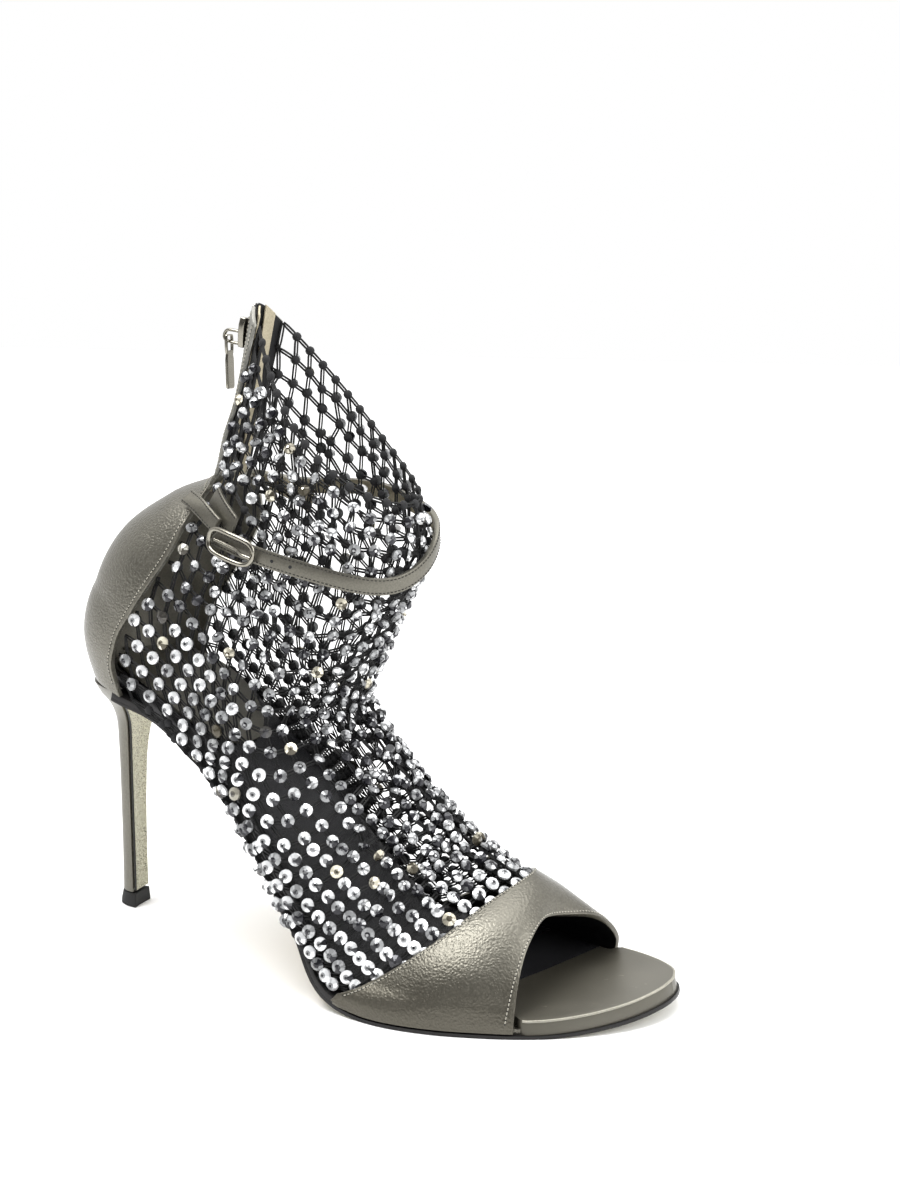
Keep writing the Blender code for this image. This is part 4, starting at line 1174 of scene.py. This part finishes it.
teeth = copies("zip_teeth", tooth, places, [])
finish_piece(teeth, "zip_teeth", [tooth_metal], ["zip_chain"], angle=30)

# %% Slider and its bail
PIVOT = np.array((49.4, 0.0, 208.6))


def back_x(z):
    pts = [upper_raw(0, k / ROWS) for k in np.linspace(5, 8, 13)]
    return float(np.interp(z, [p[2] for p in pts], [p[0] for p in pts]))


LEAN = math.atan2(back_x(214) - back_x(204), 10.0)
REACH = (back_x(PIVOT[2]) - PIVOT[0]) * math.cos(LEAN) - 0.3 - 1.5 - 0.35
deselect()
bpy.ops.mesh.primitive_cube_add(size=1.0)
slider = bpy.context.object
bpy.ops.object.mode_set(mode="EDIT")
bpy.ops.mesh.subdivide(number_cuts=3)
bpy.ops.object.mode_set(mode="OBJECT")
for v in slider.data.vertices:
    up = v.co.z + 0.5
    half = 2.7 + 1.5 * math.sin(math.pi * min(up * 1.1, 1.0) / 2) - 0.5 * max(0, up - 0.75) * 4
    notch = 0.9 * (abs(v.co.y) < 0.1) * (up > 0.9)
    dome = 0.35 * (1 - (2 * v.co.y) ** 2)
    v.co = Vector((REACH - 1.1 + v.co.x * 2.2 - dome * (v.co.x < 0), v.co.y * 2 * half, -2.4 + up * 10 - notch)) * MM
sub = slider.modifiers.new("soft", "BEVEL")
sub.width, sub.segments, sub.limit_method = 0.4 * MM, 3, "ANGLE"
sub.angle_limit = math.radians(50)
apply_all(slider)
at_pivot = Matrix.Translation(Vector(PIVOT) * MM) @ Matrix.Rotation(LEAN, 4, "Y")
slider.data.transform(at_pivot)
finish_piece(slider, "slider_body", [nickel], ["zip_slider"], angle=40)
arch = [(REACH - 1.4, 0, 3.2), (REACH - 2.4, 0, 2.5), (-0.6, 0, 1.9), (-1.5, 0, 0.9), (-1.6, 0, -0.5),
        (-0.8, 0, -1.5), (REACH - 2.4, 0, -1.7), (REACH - 1.4, 0, -1.9)]
bail = tubes("slider_bail", [spline(arch, 6)], 0.55, sides=3)
for v in bail.data.vertices:
    v.co.y *= 1.45
bail.data.transform(at_pivot)
finish_piece(bail, "slider_bail", [nickel], (), angle=60)

# %% Pull tab
deselect()
bpy.ops.mesh.primitive_grid_add(x_subdivisions=10, y_subdivisions=34, size=1.0)
pull = bpy.context.object
bpy.ops.object.mode_set(mode="EDIT")
bpy.ops.mesh.select_mode(type="FACE")
bpy.ops.object.mode_set(mode="OBJECT")
for p in pull.data.polygons:
    p.select = abs(p.center.x) < 0.26 and -0.29 < p.center.y - 0.5 + 0.0 < -0.04
bpy.ops.object.mode_set(mode="EDIT")
bpy.ops.mesh.delete(type="FACE")
bpy.ops.object.mode_set(mode="OBJECT")
for v in pull.data.vertices:
    y, z = v.co.x, v.co.y - 0.5
    round_off = 0.5 * (1 - math.sqrt(max(0.0, 1 - max(0.0, (abs(z + 0.5) - 0.42) / 0.08) ** 2 * 0.7)))
    waist = 1 - 0.16 * math.exp(-((z + 0.36) / 0.07) ** 2)
    v.co = Vector((0.45, y * 4.4 * waist * (1 - round_off), 0.55 + z * 18.0)) * MM
sol = pull.modifiers.new("plate", "SOLIDIFY")
sol.thickness, sol.offset = 0.95 * MM, 0
bev = pull.modifiers.new("round", "BEVEL")
bev.width, bev.segments, bev.limit_method = 0.25 * MM, 2, "ANGLE"
apply_all(pull)
pull.data.transform(Matrix.Translation(Vector(PIVOT - np.array((0.45, 0, 0))) * MM))
finish_piece(pull, "pull_tab", [nickel], ["zip_pull"], body="pull", angle=40)

# %% [markdown]
# ## Ankle strap, anchor strap and collar tabs
#
# The strap runs slack round the shaft, low at the front corner and higher inside. It is a
# doubled strip, pewter outside and pale inside, slightly domed across, stitched along both
# edges and punched for the prong.

# %% Strap surfaces
STRAP_W, STRAP_T = 5.6, 1.8
ANCHOR = [(0.077, 4.55, 6.1), (0.0885, 4.69, 6.0), (0.1013, 4.80, 5.7), (0.1198, 4.94, 5.2),
          (0.1385, 5.05, 5.0)]


def strap_height(x, y):
    medial = smooth(-15, 13, y)
    rise = 18 - 10 * (1 - smooth(45, 95, x))
    return 143.4 - 0.235 * (x - 69) - 0.09 * max(0.0, x - 94) + rise * medial


def strap_v(u):
    lo, hi = 0.3, 1.0
    for _ in range(24):
        m = 0.5 * (lo + hi)
        p = upper_raw(u, m)
        lo, hi = (m, hi) if p[2] < strap_height(p[0], p[1]) else (lo, m)
    return lo


def strap_off(u):
    lift = 0.4 + 0.9 * smooth(0.62, 0.74, u) + 0.6 * smooth(0.86, 0.93, u)
    return 0.3 + COUNTER_OFF + STRAP_T + 1.0 * math.exp(-((u - 0.43) / 0.10) ** 2) + lift


def strap_path(us):
    return [(u, strap_v(u), strap_off(u)) for u in us]


def strap_frames(path, passes=4):
    """Centre, outward normal and upward direction along (u, v, standoff) points."""
    cs, ns = [], []
    for u, v, off in path:
        n = upper_normal(u, v)
        k = smooth(62, 50, upper_raw(u, v)[0])
        n = unit(np.array([n[0], n[1], (0.35 + 0.65 * k) * n[2]]))
        ns.append(n)
        cs.append(upper_raw(u, v) + n * off)
    cs, ns = np.array(cs), np.array(ns)
    for _ in range(passes):
        cs[1:-1] = 0.5 * cs[1:-1] + 0.25 * (cs[:-2] + cs[2:])
        ns[1:-1] = 0.5 * ns[1:-1] + 0.25 * (ns[:-2] + ns[2:])
    out = []
    for c, n, d in zip(cs, ns, np.gradient(cs, axis=0)):
        d = unit(d)
        n = unit(n - d * n.dot(d))
        up = np.cross(n, d)
        out.append((c, n, up if up[2] > 0 else -up, d))
    return out


def refine(frames, n):
    """The same strip with n stations, along a smooth curve."""
    flat = spline([np.r_[c, nn, up] for c, nn, up, d in frames], 6)
    flat = resample(flat, n)
    ds = np.gradient(flat[:, :3], axis=0)
    return [(f[:3], unit(f[3:6]), unit(f[6:9]), unit(d)) for f, d in zip(flat, ds)]


def strip_grid(frames, width, crown=0.3, across=9, round_end=()):
    rows = []
    last = len(frames) - 1
    for i, (c, n, up, d) in enumerate(frames):
        k = 1.0
        for end in round_end:
            far = np.linalg.norm(c - frames[last if end else 0][0]) / (width * 0.5)
            k = min(k, math.sqrt(max(1 - max(0, 1 - far) ** 2, 0.02)))
        rows.append([c + up * width * s * k - n * crown * (2 * s) ** 2 for s in np.linspace(-0.5, 0.5, across)])
    return rows


def u_strap_x(x, side):
    lo, hi = 0.0, 0.45
    for _ in range(24):
        m = 0.5 * (lo + hi)
        u = m if side < 0 else 1 - m
        lo, hi = (m, hi) if upper_raw(u, strap_v(u))[0] < x else (lo, m)
    return lo if side < 0 else 1 - lo


strap_frames_ = refine(strap_frames(strap_path(np.linspace(u_strap_x(60.0, -1), u_strap_x(42.0, 1), 44))), 150)
anchor_path = [(u, k / ROWS, off) for u, k, off in resample(spline(ANCHOR, 6), 9)]
anchor_frames = refine(strap_frames(anchor_path), 30)
strap = laid_grid("strap", strip_grid(strap_frames_, STRAP_W, round_end=(0,)), (80, 0, 140),
                  [strap_leather, champagne, champagne], wall=1.7, edge=0.35, inner=1, rim=0)
finish_piece(strap, "strap_leather", [], ["ankle_strap"], angle=60)
anchor = laid_grid("anchor", strip_grid(anchor_frames, STRAP_W), (80, 0, 140), [strap_leather, champagne],
                   wall=1.7, edge=0.35, inner=1)
finish_piece(anchor, "anchor_leather", [], ["strap_anchor"], angle=60)

# %% Collar tabs
TAB_W = 6.8


def tab_frames(side):
    out = []
    for t in np.linspace(0, 1, 26):
        v = (5.15 + 0.21 * t) / ROWS
        u = 0.088 + 0.076 * t
        u = u if side < 0 else 1 - u
        n = upper_normal(u, v)
        up = unit(upper_raw(u, v + 0.02) - upper_raw(u, v - 0.02))
        out.append((upper_raw(u, v) + n * 2.45 - up * 1.0, n, up))
    cs = np.array([o[0] for o in out])
    return [(c, n, up, unit(d)) for (c, n, up), d in zip(out, np.gradient(cs, axis=0))]


tab_sets = {}
for side, sign in (("lateral", -1), ("medial", 1)):
    tab_sets[side] = tab_frames(sign)
    tab = laid_grid("tab", strip_grid(tab_sets[side], TAB_W, 0.1), (80, 0, 165), [strap_leather, champagne],
                    wall=1.25, edge=0.3, inner=1)
    finish_piece(tab, "tab_" + side, [], ["collar_tab_" + side], angle=60)

# %% [markdown]
# ## Buckle
#
# A rounded oblong of wire sits over the strap, bowed to the ankle. The prong is hinged at its
# rear side and rests on the front side.

# %% Buckle frame and prong
BUCKLE = {"length": 20.5, "height": 9.8, "wire": 0.85, "x": 69.0}
near = strap_frames(strap_path([u_strap_x(BUCKLE["x"] + d, -1) for d in (-4, -2, 0, 2, 4)]))
BC = near[2][0]
BD = unit(near[4][0] - near[0][0])
BU = near[2][2] - BD * near[2][2].dot(BD)
BU = unit(BU)
BN = np.cross(BU, BD)
BN = BN if BN[1] < 0 else -BN
ring = []
a, b = BUCKLE["length"] / 2 - BUCKLE["wire"], BUCKLE["height"] / 2 - BUCKLE["wire"]
for t in np.linspace(0, 2 * math.pi, 72, endpoint=False):
    cx = abs(math.cos(t)) ** 0.5 * math.copysign(a, math.cos(t))
    cy = abs(math.sin(t)) ** 0.72 * math.copysign(b, math.sin(t))
    ring.append(BC + BD * cx + BU * cy + BN * (BUCKLE["wire"] + 1.35 - 0.9 * (cx / a) ** 2))
buckle = tubes("buckle", [ring], BUCKLE["wire"], sides=4, cyclic=True)
finish_piece(buckle, "buckle_wire", [nickel], ["buckle_frame"], angle=70)
A = BUCKLE["length"] / 2
prong_line = spline([BC + BD * x + BN * h for x, h in (
    (-A + 3.0, 1.15), (-2.0, 1.3), (3.0, 1.9), (5.6, 3.2), (7.2, 3.95), (A + 0.4, 3.75))], 5)
prong = tubes("prong", [prong_line], 0.58, sides=3)
finish_piece(prong, "prong_wire", [nickel], ["buckle_prong"], angle=60)

# %% Punched holes
# Painted shade: each punched hole is a thin black disc on the face of the strap.
deselect()
bpy.ops.mesh.primitive_cylinder_add(vertices=16, radius=0.55 * MM, depth=0.12 * MM)
hole = bpy.context.object
places = []
total = np.r_[0, np.cumsum([np.linalg.norm(b[0] - a[0]) for a, b in zip(strap_frames_[:-1], strap_frames_[1:])])]
for x in (65.5, 83.7, 90.0):
    i = min(range(75), key=lambda j: abs(strap_frames_[j][0][0] - x))
    c, n, up, d = strap_frames_[i]
    places.append(frame_at(c + n * 0.02, d, n))
holes = copies("strap_hole_shade", hole, places, [])
finish_piece(holes, "strap_hole_shade", [black_lining], (), angle=30)

# %% [markdown]
# ## Heel
#
# The heel is a moulded core wrapped in leather, flat on its breast where a glitter panel
# covers it, with a black rubber tip.

# %% Heel, breast panel and tip
HEEL_SECTIONS = [
    (5.7, -2.8, 3.6, 4.2), (20, -2.4, 3.8, 4.2), (45, -1.9, 4.4, 4.6), (62, -1.6, 5.4, 5.6),
    (72, -1.4, 7.0, 7.8), (78.5, -1.6, 9.2, 12.6), (83.5, -2.4, 11.6, 18.6),
    (87.2, -3.6, 13.4, 23.4)]
TIP_SECTIONS = [(0, -4.1, 4.9, 4.8), (1.5, -4.0, 4.9, 4.75), (5.3, -3.0, 4.9, 4.35)]
heel_curve = spline(HEEL_SECTIONS, 8)


def heel_at(z):
    return [float(np.interp(z, heel_curve[:, 0], heel_curve[:, i])) for i in (1, 2, 3)]


def heel_ring(z, back, front, half, z_of=None, n=56):
    pts = []
    for i in range(n):
        a = -math.pi / 2 + math.pi * i / (n - 1)
        pts.append((front - (front - back) * math.cos(a), half * math.sin(a)))
    for y in np.linspace(half, -half, 14)[1:]:
        pts.append((front - 0.06 * half * (1 - (y / half) ** 2), y))
    return [(x, y, z if z_of is None else float(z_of(x))) for x, y in pts]


rows = [heel_ring(z, *heel_at(z)) for z in np.linspace(5.7, 85.4, 64)]
rows.append(heel_ring(0, -4.2, 14.0, 24.8, lambda x: feather(x) - 0.45))
heel = laid_grid("heel", rows, None, [heel_leather], edge=0.25, closed=True)
finish_piece(heel, "heel_cover", [], ["heel"], angle=50)
tip_curve = spline(TIP_SECTIONS, 5)
rows = [heel_ring(*s) for s in tip_curve]
tip = laid_grid("tip", rows, None, [rubber], edge=0.3, closed=True)
finish_piece(tip, "tip_rubber", [], ["heel_tip"], angle=50)
rows = []
for z in np.linspace(6.4, 83.2, 60):
    back, front, half = heel_at(z)
    rows.append([(front + 0.06 * half * (y * y - 1) + 1.4, (half - 0.5) * y, z)
                 for y in np.linspace(-1, 1, 11)])
breast = laid_grid("breast", rows, (-30, 0, 50), [glitter, edge_paint], wall=0.9, edge=0.2, rim=1)
finish_piece(breast, "breast_glitter", [], ["breast_cover"], angle=50)

# %% [markdown]
# ## Stitches
#
# Each stitch is a small capsule of thread, modelled once and set along the edges. A list of
# runs names every line: points on the surface with the normal there.

# %% Stitch runs


def run_from(points, normals, pitch=1.35, start=0.5):
    """Stitch matrices at equal steps along a line on a surface."""
    pts, ns = np.asarray(points, float), np.asarray(normals, float)
    d = np.r_[0, np.cumsum(np.linalg.norm(np.diff(pts, axis=0), axis=1))]
    out = []
    for s in np.arange(pitch * start, d[-1], pitch):
        p = np.array([np.interp(s, d, pts[:, i]) for i in range(3)])
        n = np.array([np.interp(s, d, ns[:, i]) for i in range(3)])
        q = np.array([np.interp(min(s + 0.4, d[-1]), d, pts[:, i]) for i in range(3)])
        o = np.array([np.interp(max(s - 0.4, 0), d, pts[:, i]) for i in range(3)])
        out.append(frame_at(p, unit(q - o), n))
    return out


def surface_run(f, ts, lift=0.06):
    """Points of f(t) and their normals, f giving a point at a depth along the normal."""
    pts = [f(t, lift) for t in ts]
    ns = [unit(f(t, 1.0) - f(t, 0.0)) for t in ts]
    return pts, ns


def band_on(w, s, off):
    n = unit(band(w, s, 1.0) - band(w, s, 0.0))
    return band_dressed(w, s) + n * off


def counter_on(k, s, off):
    return counter_point(k, s, off)


def edge_share(k):
    """Share of the counter's half width that leaves a 1.6 mm margin at its front edge."""
    a, b = counter_point(k, 0.9), counter_point(k, 1.0)
    return 1 - 1.6 / max(np.linalg.norm(b - a) / 0.1, 1.0)


runs, dark_runs, needle = [], [], []


def sew(f, ts):
    line = surface_run(f, ts)
    runs.extend(run_from(*line))
    needle.extend(run_from(*line, start=0.0))


sew(lambda t, h: band_on(t, 0.955, h), np.linspace(0.03, 0.97, 90))
sew(lambda t, h: band_on(t, 0.035, h), np.linspace(0.03, 0.97, 90))
for sign in (-1, 1):
    share = {round(k, 3): edge_share(k) for k in np.linspace(0.25, 4.9, 50)}
    sew(lambda t, h: counter_on(t, sign * share[round(t, 3)], h), np.linspace(0.25, 4.9, 50))
    sew(lambda t, h: counter_on(4.86, sign * t, h), np.linspace(0.1, 0.86, 24))
for sign in (-1, 1):
    for mm in (3.9, 8.9):
        def on_facing(t, h, mm=mm, sign=sign):
            v = t / ROWS
            low = 1.68 + 1.1 * (1 - smooth(5.5, 6.5, t))
            return upper(arc_u(sign * mm, v), v, low + h)
        sew(on_facing, np.linspace(5.2, 7.93, 44))
for frames, width, crown in ((strap_frames_, STRAP_W, 0.3), (anchor_frames, STRAP_W, 0.3),
                             (tab_sets["lateral"], TAB_W, 0.1), (tab_sets["medial"], TAB_W, 0.1)):
    for sign in (-1, 1):
        s = 0.5 - 0.75 / width
        pts = [c + up * width * s * sign - n * (crown * (2 * s) ** 2 - 0.05) for c, n, up, d in frames]
        dark_runs += run_from(pts, [n for c, n, up, d in frames])
deselect()
bpy.ops.mesh.primitive_cylinder_add(vertices=6, radius=0.2 * MM, depth=0.85 * MM,
                                    rotation=(0, math.pi / 2, 0))
bpy.ops.object.transform_apply(location=False, rotation=True, scale=False)
bpy.ops.object.mode_set(mode="EDIT")
bpy.ops.mesh.select_all(action="SELECT")
bpy.ops.mesh.bevel(offset=0.09 * MM, segments=1)
bpy.ops.object.mode_set(mode="OBJECT")
capsule = bpy.context.object
second = capsule.copy()
second.data = capsule.data.copy()
bpy.context.scene.collection.objects.link(second)
stitches = copies("stitches", capsule, runs, [])
finish_piece(stitches, "stitches", [thread], (), angle=60)
strap_stitches = copies("strap_stitches", second, dark_runs, [])
finish_piece(strap_stitches, "strap_stitches", [dark_thread], (), angle=60)
# Needle holes: small black discs at every stitch end, painted shade of the holes.
deselect()
bpy.ops.mesh.primitive_cylinder_add(vertices=6, radius=0.24 * MM, depth=0.1 * MM)
holes = copies("needle_hole_shade", bpy.context.object, needle, [])
finish_piece(holes, "needle_hole_shade", [black_lining], (), angle=30)
print(len(runs) + len(dark_runs), "stitches")

# %% [markdown]
# ## Floor and light
#
# The shoe stands on a flat white floor. It glows, faintly near the shoe and more away from it: painted
# light that keeps the far floor white. The room is bright all round but for the side where the
# camera stands, and that dark patch is what the cut stones show in their tables. Soft panels
# give the leather its long highlights.

# %% Floor
deselect()
bpy.ops.mesh.primitive_plane_add(size=8.0)
floor = bpy.context.object
floor.name = "floor"
paper = Finish("paper", (0.90, 0.90, 0.90), 0.7)
paper.set("Base Color", paper.blend(paper.noise(400.0), (0.89, 0.89, 0.89, 1), (0.92, 0.92, 0.92, 1)))
# Painted light: the floor glows, faintly near the shoe and more strongly away from it, so the far floor stays white.
away = paper.node("ShaderNodeVectorMath", {0: paper.spot}, {"operation": "LENGTH"}, "Value")
far = away.between(0.25, 1.1)
paper.set("Emission Color", paper.blend(far, (0.05, 0.05, 0.05, 1), (0.5, 0.5, 0.5, 1)))
paper.set("Emission Strength", 1.0)
floor.data.materials.append(paper.mat)

# %% Room
room = bpy.data.worlds.new("room")
bpy.context.scene.world = room
room.use_nodes = True
sky = room.node_tree
for n in list(sky.nodes):
    sky.nodes.remove(n)
coord = sky.nodes.new("ShaderNodeTexCoord")
facing = sky.nodes.new("ShaderNodeVectorMath")
facing.operation = "DOT_PRODUCT"
facing.inputs[1].default_value = Vector((-0.08, -0.99, 0.05)).normalized()
sky.links.new(coord.outputs["Generated"], facing.inputs[0])
ramp = sky.nodes.new("ShaderNodeMapRange")
ramp.interpolation_type = "SMOOTHSTEP"
ramp.inputs["From Min"].default_value = 0.22
ramp.inputs["From Max"].default_value = 0.80
ramp.inputs["To Min"].default_value = 1.0
ramp.inputs["To Max"].default_value = 0.16
sky.links.new(facing.outputs["Value"], ramp.inputs["Value"])
glow = sky.nodes.new("ShaderNodeBackground")
sky.links.new(ramp.outputs["Result"], glow.inputs["Color"])
glow.inputs["Strength"].default_value = 1.0
sky_out = sky.nodes.new("ShaderNodeOutputWorld")
sky.links.new(glow.outputs["Background"], sky_out.inputs["Surface"])

# %% Soft panels


def panel(name, at, aim, size, power):
    lamp = bpy.data.lights.new(name, "AREA")
    lamp.shape, lamp.size, lamp.size_y, lamp.energy = "RECTANGLE", size[0], size[1], power
    ob = bpy.data.objects.new(name, lamp)
    bpy.context.scene.collection.objects.link(ob)
    ob.location = at
    ob.rotation_euler = (Vector(aim) - Vector(at)).to_track_quat("-Z", "Y").to_euler()


panel("key", (-0.18, -0.32, 0.98), (0.08, 0, 0.08), (0.5, 0.5), 9.0)
panel("fill", (0.95, 0.05, 0.55), (0.08, 0, 0.08), (0.5, 0.7), 5.0)
panel("top", (0.1, 0.2, 1.1), (0.1, 0, 0.05), (0.9, 0.9), 8.0)
bpy.context.scene.view_settings.view_transform = "Standard"
